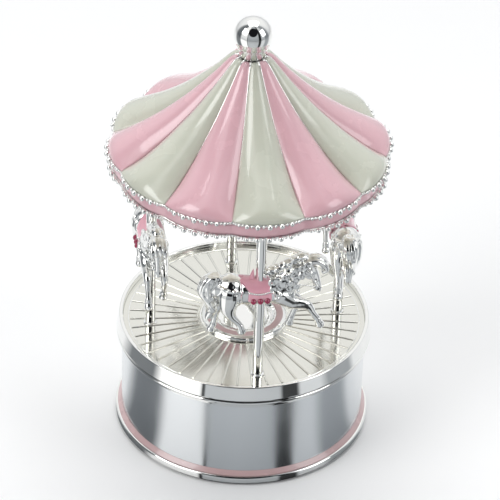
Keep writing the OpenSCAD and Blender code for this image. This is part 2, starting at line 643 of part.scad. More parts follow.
// Rose enamel round the rim, between the two rows of beads; it fills the shell's groove.
module rim_enamel() color(rose) {
    wide = stations(canopy_seam_r);
    pts = [for (q = groove, g = [0:gores - 1], j = [0:per_gore - 1]) band_pt(q[0], g, wide[j], q[1])];
    faces = [for (f = tube_faces(len(groove), gores * per_gore)) [f[0], f[2], f[1]]];
    polyhedron(points = pts, faces = faces, convexity = 8);
}

// Beads along one gore, largest in the middle.
bead_u = [-0.86, -0.66, -0.4, -0.14, 0.14, 0.4, 0.66, 0.86];
function bead_r(u) = 0.5 + 0.65 * puff(u);
module bead_row(t) for (g = [0:gores - 1], u = bead_u) {
    p = band_pt(t, g, u, bead_r(u) + 0.3);
    translate(p) sphere(r = bead_r(u), $fn = 24);
}
module bead_row_upper() color(silver) bead_row(0);
module bead_row_lower() color(silver) bead_row(0.99);

// ---------- Finial ----------

// Thin washer that the finial is screwed down on.
module finial_collar() color(silver)
    translate([0, 0, crown_z]) difference() {
        cylinder(r = 4.8, h = finial_z - crown_z, $fn = 64);
        translate([0, 0, -1]) cylinder(r = shell_bore_r, h = 3, $fn = 32);
    }

// Ball on a wide tapering neck, with the stem that goes through the crown.
module finial() color(silver) {
    rotate_extrude($fn = 96)
        polygon(concat([[0, finial_z], [5, finial_z], [5.4, finial_z + 0.4], [5.8, finial_z + 2]],
            [for (a = [-36:6:84]) [ball_r * cos(a), ball_z + ball_r * sin(a)]], [[0, ball_z + ball_r]]));
    translate([0, 0, finial_z - 4.3]) cylinder(r = shell_bore_r - 0.05, h = 4.4, $fn = 32);
}

// ---------- Winding key ----------
wing_x = 9.2;
wing_z = 5.6;
wing_t = 1.7;

module winding_key() color(brass) {
    difference() {
        union() {
            translate([0, 0, 6.8]) cylinder(r = 3, h = 4.4, $fn = 40);
            translate([0, 0, 2]) linear_extrude(7.6) square([8, wing_t], center = true);
            for (s = [-1, 1]) translate([s * wing_x, 0, wing_z]) rotate([90, 0, 0])
                cylinder(r = 4, h = wing_t, center = true, $fn = 48);
            translate([0, 0, wing_z]) cube([16, wing_t, 5.4], center = true);
        }
        for (s = [-1, 1]) translate([s * wing_x, 0, wing_z]) rotate([90, 0, 0])
            cylinder(r = 2, h = 4, center = true, $fn = 32);
    }
    translate([0, 0, 11]) cylinder(r = key_arbor_r, h = 14.6, $fn = 32);
}

base_flange();
base_enamel_ring();
felt_ring();
drum_wall();
drum_rim();
bottom_plate();
bottom_screws();
deck_plate();
deck_bush();
bedplate();
bedplate_screws();
spring_housing();
bearing_near();
bearing_far();
comb_base();
comb();
comb_screws();
governor_frame();
platform_skirt();
platform_floor();
centre_ring();
centre_ring_enamel();
hub();
hub_screws();
spindle();
crown_wheel();
pole_right();
pole_back();
pole_left();
pole_front();
pole_nuts_lower();
pole_nuts_upper();
horse_right();
horse_back();
horse_left();
horse_front();
saddle_right();
saddle_back();
saddle_left();
saddle_front();
gems_right();
gems_back();
gems_left();
gems_front();
ceiling_plate();
canopy_shell();
canopy_enamel_rose();
canopy_enamel_cream();
rim_enamel();
bead_row_upper();
bead_row_lower();
finial_collar();
finial();
tune_cylinder();
cylinder_arbor();
governor_wheel();
governor_fan();
winding_key();
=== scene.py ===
"""Looks of a silver-plated carousel music box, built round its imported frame."""

import json
import math
import random

import bmesh
import bpy
from mathutils import Matrix, Vector


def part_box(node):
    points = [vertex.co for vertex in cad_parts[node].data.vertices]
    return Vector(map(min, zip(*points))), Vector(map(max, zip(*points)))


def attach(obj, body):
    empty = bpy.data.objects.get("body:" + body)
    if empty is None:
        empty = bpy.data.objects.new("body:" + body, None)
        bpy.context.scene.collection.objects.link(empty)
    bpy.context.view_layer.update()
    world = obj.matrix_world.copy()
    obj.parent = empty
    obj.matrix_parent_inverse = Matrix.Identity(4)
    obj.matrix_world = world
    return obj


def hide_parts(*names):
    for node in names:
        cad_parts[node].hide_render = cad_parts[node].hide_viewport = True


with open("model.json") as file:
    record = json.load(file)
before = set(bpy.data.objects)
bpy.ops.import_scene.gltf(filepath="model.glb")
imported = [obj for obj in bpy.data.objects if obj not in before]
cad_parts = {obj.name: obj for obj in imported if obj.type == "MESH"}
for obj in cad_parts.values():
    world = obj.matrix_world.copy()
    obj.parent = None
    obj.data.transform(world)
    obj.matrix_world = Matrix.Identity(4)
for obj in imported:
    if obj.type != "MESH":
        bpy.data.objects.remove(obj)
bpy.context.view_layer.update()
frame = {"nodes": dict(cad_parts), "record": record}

bl_info = {
    "name": "Carousel Music Box",
    "version": (1, 0, 0),
    "blender": (4, 5, 0),
    "location": "View3D > Sidebar > Carousel",
    "description": "Builds a silver and enamel carousel music box piece by piece",
    "category": "Object",
}

MM = 0.001
QUARTERS = ("right", "back", "left", "front")


# ---------------------------------------------------------------- sizes from the frame


def low(node):
    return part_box(node)[0]


def high(node):
    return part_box(node)[1]


def reach(node):
    """Radius of a turned node that is centred on the axis."""
    corner_low, corner_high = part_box(node)
    return max(corner_high.x, -corner_low.x, corner_high.y, -corner_low.y)


def middle(node):
    corner_low, corner_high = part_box(node)
    return (corner_low + corner_high) / 2


FIRST_POLE = middle("pole_right")
PHASE = math.atan2(FIRST_POLE.y, FIRST_POLE.x)
POLE_CIRCLE = math.hypot(FIRST_POLE.x, FIRST_POLE.y)
POLE_R = (high("pole_right").x - low("pole_right").x) / 2 - 0.9 * MM  # the box holds the foot's collar
FLOOR_Z = high("platform_floor").z - 0.12 * MM
CEILING_Z = low("ceiling_plate").z
COLLAR_Z = high("canopy_enamel_rose").z
HORSE_SIZE = 1.07 * MM  # a horse is drawn a little under its full size


# ---------------------------------------------------------------- settings


class CarouselDrumSettings(bpy.types.PropertyGroup):
    """Sizes of the turned pieces."""

    segments: bpy.props.IntProperty(
        name="Segments", description="Divisions round each turned piece", default=256, min=24, max=512
    )
    edge_round: bpy.props.FloatProperty(
        name="Edge rounding",
        description="Radius worn onto the crisp turned edges",
        default=0.25 * MM,
        unit="LENGTH",
    )
    rays: bpy.props.IntProperty(
        name="Rays", description="Fine raised rays on the floor", default=48, min=4, max=180
    )
    ray_width: bpy.props.FloatProperty(
        name="Ray width", description="Width of one ray", default=0.95 * MM, unit="LENGTH"
    )
    ray_height: bpy.props.FloatProperty(
        name="Ray height", description="Height of one ray above the floor", default=0.36 * MM, unit="LENGTH"
    )


class CarouselCanopySettings(bpy.types.PropertyGroup):
    """Sizes of the enamelled canopy."""

    gores: bpy.props.IntProperty(
        name="Gores", description="Panels of the canopy", default=12, min=4, max=24
    )
    mid_radius: bpy.props.FloatProperty(
        name="Edge radius",
        description="Radius of the edge in the middle of a gore",
        default=58.7 * MM,
        unit="LENGTH",
    )
    seam_radius: bpy.props.FloatProperty(
        name="Seam radius", description="Radius of the edge at a seam", default=57.1 * MM, unit="LENGTH"
    )
    edge_height: bpy.props.FloatProperty(
        name="Edge height", description="Height of the canopy's edge", default=138.3 * MM, unit="LENGTH"
    )
    puff_power: bpy.props.FloatProperty(
        name="Puff", description="How square each gore's cushion is: 2 is round", default=2.2, min=1, max=6
    )
    rib_width: bpy.props.FloatProperty(
        name="Rib width", description="Width of a seam wire at the collar", default=1.1 * MM, unit="LENGTH"
    )
    enamel: bpy.props.FloatProperty(
        name="Enamel", description="Thickness of the enamel", default=0.35 * MM, unit="LENGTH"
    )
    bead: bpy.props.FloatProperty(
        name="Bead radius",
        description="Radius of the largest bead of each gore",
        default=1.2 * MM,
        unit="LENGTH",
    )


class CarouselHorseSettings(bpy.types.PropertyGroup):
    """Sizes of the cast horses."""

    voxel: bpy.props.FloatProperty(
        name="Grain",
        description="Finest detail kept when the limbs are melted together",
        default=0.3 * MM,
        unit="LENGTH",
    )
    stone: bpy.props.FloatProperty(
        name="Stone radius",
        description="Radius of the stones on the saddle cloth",
        default=1.35 * MM,
        unit="LENGTH",
    )
    seed: bpy.props.IntProperty(name="Seed", description="Order of the mane's and tail's curls", default=7)


class CarouselFinishSettings(bpy.types.PropertyGroup):
    """Colours of the finishes."""

    silver: bpy.props.FloatVectorProperty(
        name="Silver",
        description="Polished silver plate",
        default=(0.93, 0.93, 0.91),
        subtype="COLOR",
    )
    satin: bpy.props.FloatVectorProperty(
        name="Satin silver",
        description="Brushed silver of the drum",
        default=(0.86, 0.88, 0.89),
        subtype="COLOR",
    )
    rose: bpy.props.FloatVectorProperty(
        name="Rose",
        description="Enamel of the rose gores and the rim",
        default=(0.73, 0.44, 0.485),
        subtype="COLOR",
    )
    cream: bpy.props.FloatVectorProperty(
        name="Cream",
        description="Enamel of the cream gores",
        default=(0.59, 0.60, 0.505),
        subtype="COLOR",
    )
    deep_rose: bpy.props.FloatVectorProperty(
        name="Deep rose",
        description="Enamel of the saddles",
        default=(0.88, 0.43, 0.52),
        subtype="COLOR",
    )
    dusty_rose: bpy.props.FloatVectorProperty(
        name="Dusty rose",
        description="Enamel of the drum and floor rings",
        default=(0.62, 0.43, 0.43),
        subtype="COLOR",
    )
    stone: bpy.props.FloatVectorProperty(
        name="Stone",
        description="Glass stones of the saddle cloth",
        default=(0.42, 0.02, 0.09),
        subtype="COLOR",
    )


class CarouselStageSettings(bpy.types.PropertyGroup):
    """The camera's place and lens."""

    elevation: bpy.props.FloatProperty(
        name="Elevation", description="Camera's height angle", default=math.radians(35.42), subtype="ANGLE"
    )
    distance: bpy.props.FloatProperty(
        name="Distance", description="Camera's distance from its target", default=1.39844, unit="LENGTH"
    )
    target: bpy.props.FloatVectorProperty(
        name="Target",
        description="Point the camera looks at",
        default=(0.00165, 0.0, 0.08445),
        subtype="TRANSLATION",
    )
    roll: bpy.props.FloatProperty(
        name="Roll",
        description="Camera's turn about its own axis",
        default=math.radians(1.92),
        subtype="ANGLE",
    )
    lens: bpy.props.FloatProperty(
        name="Lens", description="Focal length in millimetres", default=236.2, min=20, max=300
    )


# ---------------------------------------------------------------- materials

FINISHES = {}


def add_node(tree, kind, inputs=(), out=0, **facts):
    """Adds a node with these facts and inputs, each a value or a socket, and returns one output."""
    made = tree.nodes.new(kind)
    for fact, value in facts.items():
        setattr(made, fact, value)
    for key, value in dict(inputs).items():
        if isinstance(value, bpy.types.NodeSocket):
            tree.links.new(value, made.inputs[key])
        else:
            made.inputs[key].default_value = value
    return made.outputs[out]


def mixed(tree, factor, one, two, blend="MIX"):
    """Mixes two colours by a factor."""
    inputs = {"Factor": factor, "A": one, "B": two}
    return add_node(tree, "ShaderNodeMix", inputs, "Result", data_type="RGBA", blend_type=blend)


def set_inputs(shader, values):
    for name, value in values.items():
        shader.inputs[name].default_value = value


def wear_group():
    """Faint unevenness of a plated or enamelled surface: a mask and a bump, from Object coordinates."""
    group = bpy.data.node_groups.new("Hand finish", "ShaderNodeTree")
    face = group.interface
    face.new_socket("Scale", in_out="INPUT", socket_type="NodeSocketFloat").default_value = 40
    face.new_socket("Depth", in_out="INPUT", socket_type="NodeSocketFloat").default_value = 0.05
    face.new_socket("Mask", in_out="OUTPUT", socket_type="NodeSocketFloat")
    face.new_socket("Normal", in_out="OUTPUT", socket_type="NodeSocketVector")
    inlet = group.nodes.new("NodeGroupInput").outputs
    outlet = group.nodes.new("NodeGroupOutput").inputs
    place = add_node(group, "ShaderNodeTexCoord", out="Object")
    noise = {"Vector": place, "Scale": inlet["Scale"], "Detail": 4}
    cloud = add_node(group, "ShaderNodeTexNoise", noise, "Fac")
    relief = {"Height": cloud, "Strength": inlet["Depth"], "Distance": 0.2 * MM}
    group.links.new(cloud, outlet["Mask"])
    group.links.new(add_node(group, "ShaderNodeBump", relief), outlet["Normal"])
    return group


def new_finish(name):
    """A material with the hand finish wired to its normal; returns its shader, group and tree."""
    material = bpy.data.materials.new(name)
    material.use_nodes = True
    tree = material.node_tree
    shader = tree.nodes["Principled BSDF"]
    hand = tree.nodes.new("ShaderNodeGroup")
    hand.node_tree = bpy.data.node_groups.get("Hand finish") or wear_group()
    tree.links.new(hand.outputs["Normal"], shader.inputs["Normal"])
    FINISHES[name] = material
    return shader, hand, tree


def vary(tree, mask, socket, start, end):
    """Drives a socket between two values by a mask; colours mix, numbers map."""
    if socket.type == "RGBA":
        tree.links.new(mixed(tree, mask, (*start, 1), (*end, 1)), socket)
        return
    spread = {"Value": mask, "From Min": 0.3, "From Max": 0.7, "To Min": start, "To Max": end}
    tree.links.new(add_node(tree, "ShaderNodeMapRange", spread, "Result"), socket)


def shade_of(colour, factor):
    return tuple(min(1, c * factor) for c in colour)


def make_metal(name, colour, rough, scale=60, depth=0.04, streaks=0):
    """A plated or bare metal; streaks makes it brushed round the axis."""
    shader, hand, tree = new_finish(name)
    set_inputs(hand, {"Scale": scale, "Depth": depth})
    set_inputs(shader, {"Metallic": 1})
    mask = hand.outputs["Mask"]
    vary(tree, mask, shader.inputs["Base Color"], shade_of(colour, 0.96), shade_of(colour, 1.03))
    vary(tree, mask, shader.inputs["Roughness"], rough * 0.8, rough * 1.25)
    if streaks:
        add_streaks(tree, shader, hand, streaks)


def add_streaks(tree, shader, hand, strength):
    """Fine turning marks: noise that changes quickly with height and slowly round the axis."""
    shader.inputs["Anisotropic"].default_value = 0.85
    tangent = add_node(tree, "ShaderNodeTangent", out="Tangent", direction_type="RADIAL", axis="Z")
    tree.links.new(tangent, shader.inputs["Tangent"])
    place = add_node(tree, "ShaderNodeTexCoord", out="Object")
    stretched = add_node(tree, "ShaderNodeMapping", {"Vector": place, "Scale": (30, 30, 9000)})
    grain = add_node(tree, "ShaderNodeTexNoise", {"Vector": stretched, "Scale": 1, "Detail": 3}, "Fac")
    relief = {"Height": grain, "Normal": hand.outputs["Normal"], "Strength": strength, "Distance": 0.02 * MM}
    tree.links.new(add_node(tree, "ShaderNodeBump", relief), shader.inputs["Normal"])


def make_enamel(name, colour, depth=0.12):
    """Glassy enamel: a slightly uneven colour under a clear hard coat."""
    shader, hand, tree = new_finish(name)
    set_inputs(hand, {"Scale": 90, "Depth": depth})
    mask = hand.outputs["Mask"]
    vary(tree, mask, shader.inputs["Base Color"], shade_of(colour, 0.94), shade_of(colour, 1.05))
    vary(tree, mask, shader.inputs["Roughness"], 0.2, 0.3)
    set_inputs(shader, {"Subsurface Weight": 0.06, "Subsurface Radius": (1.2 * MM, 0.8 * MM, 0.7 * MM)})
    set_inputs(shader, {"Coat Weight": 1, "Coat Roughness": 0.03})


def make_stone(name, colour):
    """Deep red glass with a polished face."""
    shader, hand, tree = new_finish(name)
    set_inputs(hand, {"Depth": 0.02})
    mask = hand.outputs["Mask"]
    vary(tree, mask, shader.inputs["Base Color"], shade_of(colour, 0.8), shade_of(colour, 1.3))
    set_inputs(shader, {"Roughness": 0.05, "IOR": 1.6, "Transmission Weight": 0.35, "Coat Weight": 0.6})


def make_felt(name):
    """Black felt: rough, with a faint sheen."""
    shader, hand, tree = new_finish(name)
    set_inputs(hand, {"Scale": 900, "Depth": 0.8})
    mask = hand.outputs["Mask"]
    vary(tree, mask, shader.inputs["Base Color"], (0.012, 0.012, 0.014), (0.04, 0.04, 0.045))
    set_inputs(shader, {"Roughness": 0.95, "Sheen Weight": 0.5})


class CAROUSEL_OT_finishes(bpy.types.Operator):
    """Make the silver, enamel, stone, brass, steel and felt, and put them on the frame's own pieces"""

    bl_idname = "carousel.finishes"
    bl_label = "Finishes"

    def execute(self, context):
        look = context.scene.carousel_finish
        make_metal("silver_plate", look.silver, 0.045)
        make_metal("silver_satin", look.satin, 0.16, scale=25, streaks=0.4)
        make_metal("silver_floor", (0.81, 0.805, 0.75), 0.13, scale=30, depth=0.06)
        make_metal("silver_ceiling", (0.88, 0.84, 0.77), 0.3, scale=30, depth=0.15)
        make_metal("steel", (0.55, 0.56, 0.57), 0.28, scale=120, depth=0.15)
        make_metal("brass", (0.80, 0.58, 0.25), 0.24, scale=120, depth=0.12)
        make_enamel("enamel_rose", look.rose)
        make_enamel("enamel_cream", look.cream)
        make_enamel("enamel_deep_rose", look.deep_rose)
        make_enamel("enamel_ring", look.dusty_rose)
        make_stone("stone", look.stone)
        make_felt("felt")
        slots = {part["node"]: part["material_slot"] for part in frame["record"]["subparts"]}
        for node, piece in frame["nodes"].items():
            for place in piece.material_slots:
                place.link = "OBJECT"
                place.material = FINISHES[slots[node]]
        return {"FINISHED"}


# ---------------------------------------------------------------- mesh helpers


def link_piece(name, mesh, finish, body, nodes=()):
    """Puts a mesh in the scene as a piece that rides on a body and stands for CAD nodes."""
    piece = bpy.data.objects.new(name, mesh)
    bpy.context.scene.collection.objects.link(piece)
    if finish and not mesh.materials:
        mesh.materials.append(FINISHES[finish])
    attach(piece, body)
    if nodes:
        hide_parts(*nodes)
    return piece


def smooth_mesh(bm, name):
    """Turns a bmesh into a mesh with outward normals and smooth faces."""
    bmesh.ops.recalc_face_normals(bm, faces=bm.faces)
    mesh = bpy.data.meshes.new(name)
    bm.to_mesh(mesh)
    bm.free()
    mesh.shade_smooth()
    return mesh


def fillet(points, radius, closed=True, steps=4):
    """Rounds each corner of an outline of (r, z) and adds holding points beside the rounds."""
    hold = 0.3
    out = []
    count = len(points)
    for i, point in enumerate(points):
        here = Vector(point)
        if not closed and i in (0, count - 1):
            out.append(here)
            continue
        back = Vector(points[i - 1]) - here
        ahead = Vector(points[(i + 1) % count]) - here
        bend = back.angle(ahead)
        if bend > math.radians(165):
            out.append(here)
            continue
        cut = min(radius / math.tan(bend / 2), back.length * 0.4, ahead.length * 0.4)
        start = here + back.normalized() * cut
        end = here + ahead.normalized() * cut
        out.append(start + back.normalized() * cut * hold)
        for k in range(steps + 1):
            t = k / steps
            out.append(start * (1 - t) ** 2 + here * 2 * t * (1 - t) + end * t**2)
        out.append(end + ahead.normalized() * cut * hold)
    return out


def lathe(outline, segments, closed=True):
    """Spins an outline of (r, z) about the axis; points on the axis become poles."""
    bm = bmesh.new()
    rings = []
    for r, z in outline:
        if r < 1e-6:
            rings.append([bm.verts.new((0, 0, z))])
            continue
        ring = []
        for i in range(segments):
            turn = 2 * math.pi * i / segments
            ring.append(bm.verts.new((r * math.cos(turn), r * math.sin(turn), z)))
        rings.append(ring)
    pairs = list(zip(rings, rings[1:] + rings[:1] if closed else rings[1:]))
    for one, two in pairs:
        if len(one) == 1 and len(two) == 1:
            continue
        for i in range(segments):
            j = (i + 1) % segments
            corners = [one[i % len(one)], one[j % len(one)], two[j % len(two)], two[i % len(two)]]
            bm.faces.new(list(dict.fromkeys(corners)))
    return bm


def turned(name, outline, finish, body, nodes, radius=None, closed=True):
    """A turned piece from an outline in millimetres."""
    look = bpy.context.scene.carousel_drum
    round_r = look.edge_round if radius is None else radius
    scaled = [(r * MM, z * MM) for r, z in outline]
    bm = lathe(fillet(scaled, round_r, closed), look.segments, closed)
    return link_piece(name, smooth_mesh(bm, name), finish, body, nodes)


def arc(cx, cz, radius, start, end, steps):
    """Points of (r, z) along an arc, angles in degrees."""
    turns = [math.radians(start + (end - start) * i / steps) for i in range(steps + 1)]
    return [(cx + radius * math.cos(t), cz + radius * math.sin(t)) for t in turns]


# ---------------------------------------------------------------- geometry node helper


class Wiring:
    """A geometry node tree made one call a node, ending in Realize Instances and Set Material."""

    def __init__(self, name):
        self.tree = bpy.data.node_groups.new(name, "GeometryNodeTree")
        self.tree.is_modifier = True
        self.tree.interface.new_socket("Geometry", in_out="OUTPUT", socket_type="NodeSocketGeometry")
        self.inlet = self.tree.nodes.new("NodeGroupInput")
        self.outlet = self.tree.nodes.new("NodeGroupOutput")

    def size(self, name, kind="Float", default=None):
        socket = self.tree.interface.new_socket(name, in_out="INPUT", socket_type="NodeSocket" + kind)
        if default is not None:
            socket.default_value = default
        return self.inlet.outputs[name]

    def node(self, kind, inputs=(), out=0, **facts):
        return add_node(self.tree, kind, inputs, out, **facts)

    def math(self, operation, a, b=0.0):
        return self.node("ShaderNodeMath", {0: a, 1: b}, operation=operation)

    def spin(self, geometry, count, turn):
        """Copies geometry round the axis: count copies, the first one at turn."""
        points = self.node("GeometryNodePoints", {"Count": count})
        step = self.math("DIVIDE", 2 * math.pi, count)
        angle = self.math("ADD", self.math("MULTIPLY", self.node("GeometryNodeInputIndex"), step), turn)
        facing = self.node("ShaderNodeCombineXYZ", {"Z": angle})
        return self.node(
            "GeometryNodeInstanceOnPoints", {"Points": points, "Instance": geometry, "Rotation": facing}
        )

    def finish(self, geometry, smooth=True):
        solid = self.node("GeometryNodeRealizeInstances", {"Geometry": geometry})
        shaded = self.node("GeometryNodeSetShadeSmooth", {"Geometry": solid, "Shade Smooth": smooth})
        stuff = self.size("Material", "Material")
        done = self.node("GeometryNodeSetMaterial", {"Geometry": shaded, "Material": stuff})
        self.tree.links.new(done, self.outlet.inputs["Geometry"])
        return self.tree


def grown(name, tree, sizes, mesh=None):
    """Runs a node tree on an object with these named sizes and returns the plain mesh it makes."""
    carrier = bpy.data.objects.new(name + "_carrier", mesh or bpy.data.meshes.new(name + "_seed"))
    bpy.context.scene.collection.objects.link(carrier)
    modifier = carrier.modifiers.new("Grow", "NODES")
    modifier.node_group = tree
    for socket in tree.interface.items_tree:
        if socket.in_out == "INPUT" and socket.name in sizes:
            modifier[socket.identifier] = sizes[socket.name]
    depsgraph = bpy.context.evaluated_depsgraph_get()
    result = bpy.data.meshes.new_from_object(carrier.evaluated_get(depsgraph), depsgraph=depsgraph)
    bpy.data.objects.remove(carrier)
    result.name = name
    return result


def spots_mesh(name, spots):
    """A mesh of loose points; each spot is (place, radius) and keeps its radius as an attribute."""
    mesh = bpy.data.meshes.new(name)
    mesh.from_pydata([place for place, _ in spots], [], [])
    sizes = mesh.attributes.new("bead_radius", "FLOAT", "POINT")
    sizes.data.foreach_set("value", [radius for _, radius in spots])
    return mesh


def bead_tree():
    """Puts a ball of the point's own radius on every point; few subdivisions make cut stones."""
    made = bpy.data.node_groups.get("Beads")
    if made:
        return made
    wiring = Wiring("Beads")
    wiring.tree.interface.new_socket("Points", in_out="INPUT", socket_type="NodeSocketGeometry")
    points = wiring.inlet.outputs["Points"]
    fineness = wiring.size("Fineness", "Int", 3)
    smooth = wiring.size("Smooth", "Bool", True)
    radius = wiring.node("GeometryNodeInputNamedAttribute", {"Name": "bead_radius"}, data_type="FLOAT")
    ball = wiring.node("GeometryNodeMeshIcoSphere", {"Radius": 1.0, "Subdivisions": fineness})
    placed = wiring.node(
        "GeometryNodeInstanceOnPoints", {"Points": points, "Instance": ball, "Scale": radius}
    )
    return wiring.finish(placed, smooth)


def beads(name, spots, finish, body, nodes=(), fineness=3, smooth=True):
    """Beads or stones at spots of (place, radius), in metres."""
    sizes = {"Fineness": fineness, "Smooth": smooth, "Material": FINISHES[finish]}
    mesh = grown(name, bead_tree(), sizes, spots_mesh(name + "_spots", spots))
    return link_piece(name, mesh, finish, body, nodes)


# ---------------------------------------------------------------- drum


class CAROUSEL_OT_drum(bpy.types.Operator):
    """Turn the fixed drum: foot, enamel ring, wall, top moulding"""

    bl_idname = "carousel.drum"
    bl_label = "Drum"

    def execute(self, context):
        foot_r = reach("base_flange") / MM
        wall_r = reach("drum_wall") / MM
        foot_z = low("base_flange").z / MM
        wall_top = high("drum_wall").z / MM
        wall_in = wall_r - 1.4
        foot_in = 50
        ledge = 5.9  # the wall stands on the foot at this height
        shoulder = high("base_enamel_ring").z / MM
        foot = [(foot_in, foot_z), (54.5, foot_z)]
        foot += arc(foot_r - 1.1, foot_z + 1.1, 1.1, -60, 0, 5)
        foot += arc(foot_r - 1.3, 3.0, 1.3, 0, 52, 5)
        foot += [(54.0, 4.2), (wall_r, 5.6), (wall_r, ledge), (foot_in, ledge)]
        turned("foot", foot, "silver_plate", "base", ["base_flange"], radius=0.05 * MM)
        inlay = [(54.0, 4.2), (54.3, 4.5), (53.6, 5.3), (wall_r, shoulder), (wall_r, 5.6)]
        turned("foot_enamel", inlay, "enamel_ring", "base", ["base_enamel_ring"], radius=0.08 * MM)
        wall = [(wall_in, ledge), (wall_r, ledge), (wall_r, wall_top), (wall_in, wall_top)]
        turned("drum_side", wall, "silver_satin", "base", ["drum_wall"], radius=0.05 * MM)
        lip_r = reach("drum_rim") / MM
        lip_z = high("drum_rim").z / MM
        cove = arc(lip_r + 0.35, wall_top + 0.15, 2.75, 180, 108, 9)
        moulding = [(wall_in, wall_top), (wall_r, wall_top)]
        moulding += [(r, z) for r, z in cove if r <= lip_r - 0.6]
        moulding += arc(lip_r - 0.75, lip_z - 1.0, 0.75, -50, 90, 8)
        moulding += [(wall_in, lip_z), (wall_in, wall_top + 1)]
        turned("drum_moulding", moulding, "silver_plate", "base", ["drum_rim"], radius=0.05 * MM)
        return {"FINISHED"}


# ---------------------------------------------------------------- platform


def ray_tree():
    """Half-round rays from an inner to an outer radius, spun round the axis."""
    wiring = Wiring("Floor rays")
    count = wiring.size("Count", "Int", 48)
    turn = wiring.size("Turn")
    inner = wiring.size("Inner radius")
    outer = wiring.size("Outer radius")
    width = wiring.size("Width")
    height = wiring.size("Height")
    level = wiring.size("Level")
    start = wiring.node("ShaderNodeCombineXYZ", {"X": inner})
    end = wiring.node("ShaderNodeCombineXYZ", {"X": outer})
    line = wiring.node("GeometryNodeCurvePrimitiveLine", {"Start": start, "End": end})
    half = wiring.math("DIVIDE", width, 2.0)
    section = wiring.node("GeometryNodeCurvePrimitiveCircle", {"Resolution": 10, "Radius": half})
    sweep = {"Curve": line, "Profile Curve": section, "Fill Caps": True}
    bar = wiring.node("GeometryNodeCurveToMesh", sweep)
    squash = wiring.math("DIVIDE", height, half)
    flat = wiring.node("ShaderNodeCombineXYZ", {"X": 1.0, "Y": 1.0, "Z": squash})
    lift = wiring.node("ShaderNodeCombineXYZ", {"Z": level})
    shaped = wiring.node("GeometryNodeTransform", {"Geometry": bar, "Translation": lift, "Scale": flat})
    return wiring.finish(wiring.spin(shaped, count, turn))


class CAROUSEL_OT_platform(bpy.types.Operator):
    """Turn the moving platform: skirt, mirror floor with its rays, and the ring in its middle"""

    bl_idname = "carousel.platform"
    bl_label = "Platform"

    def execute(self, context):
        look = context.scene.carousel_drum
        top = high("platform_skirt").z / MM
        hem = low("platform_skirt").z / MM
        floor = FLOOR_Z / MM
        outer = reach("platform_skirt") / MM
        lip = outer - 1.05
        inner = reach("platform_floor") / MM
        skirt = [(outer - 1.65, hem), (outer - 0.1, hem), (outer, hem + 0.4), (outer - 0.15, hem + 1.1)]
        skirt += arc(lip - 0.55, top - 0.6, 0.6, 5, 90, 6)
        skirt += arc(inner + 0.45, top - 0.45, 0.45, 90, 180, 5)
        skirt += [(inner, floor), (inner, floor - 1.6), (outer - 1.65, floor - 1.9)]
        turned("skirt", skirt, "silver_plate", "carousel", ["platform_skirt"], radius=0.08 * MM)
        plate = [(0, floor), (inner - 0.01, floor), (inner - 0.01, floor - 1.6), (0, floor - 1.6)]
        stands_for = ["platform_floor"]
        turned("mirror_floor", plate, "silver_floor", "carousel", stands_for, closed=False)
        sizes = {
            "Count": look.rays,
            "Turn": PHASE + math.pi / look.rays,
            "Inner radius": 20.4 * MM,
            "Outer radius": (inner - 3) * MM,
            "Width": look.ray_width,
            "Height": look.ray_height,
            "Level": FLOOR_Z,
            "Material": FINISHES["silver_floor"],
        }
        rays = grown("floor_rays", ray_tree(), sizes)
        link_piece("floor_rays", rays, None, "carousel")
        bead_line = arc(inner - 2.4, floor, 0.2, 0, 180, 6)
        turned("floor_border", bead_line, "silver_plate", "carousel", [], radius=0.01 * MM)
        self.centre_ring(floor)
        return {"FINISHED"}

    def centre_ring(self, floor):
        ring = reach("centre_ring") / MM
        top = high("centre_ring").z / MM
        outline = [(0, floor + 0.4), (ring - 9, floor + 0.4)]
        outline += arc(ring - 7.3, floor + 1.7, 1.35, 250, 340, 6)
        outline += arc(ring - 5.35, top - 0.35, 0.35, 150, 40, 4)
        outline += [(ring - 5, floor + 1.6), (ring - 2.2, floor + 1.6)]
        outline += arc(ring - 2.0, top - 0.3, 0.3, 140, 60, 4)
        outline += arc(ring - 2.1, floor + 0.2, 1.7, 68, 8, 7)
        outline += [(ring, floor + 0.5), (ring, floor), (0, floor)]
        name = "centre_medallion"
        turned(name, outline, "silver_plate", "carousel", ["centre_ring"], radius=0.06 * MM, closed=False)
        band = [(ring - 5, floor + 1.6), (ring - 2.2, floor + 1.6)]
        band += [(ring - 2.2, top - 0.06), (ring - 3.6, top), (ring - 5, top - 0.06)]
        turned("centre_enamel", band, "enamel_ring", "carousel", ["centre_ring_enamel"], radius=0.05 * MM)


# ---------------------------------------------------------------- poles


class CAROUSEL_OT_poles(bpy.types.Operator):
    """Turn the four poles, each with a small collar at its foot and at the ceiling"""

    bl_idname = "carousel.poles"
    bl_label = "Poles"

    def execute(self, context):
        foot, head = FLOOR_Z, CEILING_Z
        stub_low = low("pole_right").z
        stub_high = high("pole_right").z
        r, thread = POLE_R, 1.6 * MM
        outline = [(0, stub_low), (thread, stub_low), (thread, foot), (r + 0.7 * MM, foot)]
        outline += [(r + 0.7 * MM, foot + 0.5 * MM), (r, foot + 1.0 * MM)]
        outline += [(r, head - 1.0 * MM), (r + 0.7 * MM, head - 0.5 * MM), (r + 0.7 * MM, head)]
        outline += [(thread, head), (thread, stub_high), (0, stub_high)]
        for quarter in QUARTERS:
            bm = lathe(fillet(outline, 0.15 * MM, closed=False), 48, closed=False)
            bm.transform(Matrix.Translation(middle("pole_" + quarter).xy.to_3d()))
            name = "rod_" + quarter
            link_piece(name, smooth_mesh(bm, name), "silver_plate", "carousel", ["pole_" + quarter])
        return {"FINISHED"}


# ---------------------------------------------------------------- horses


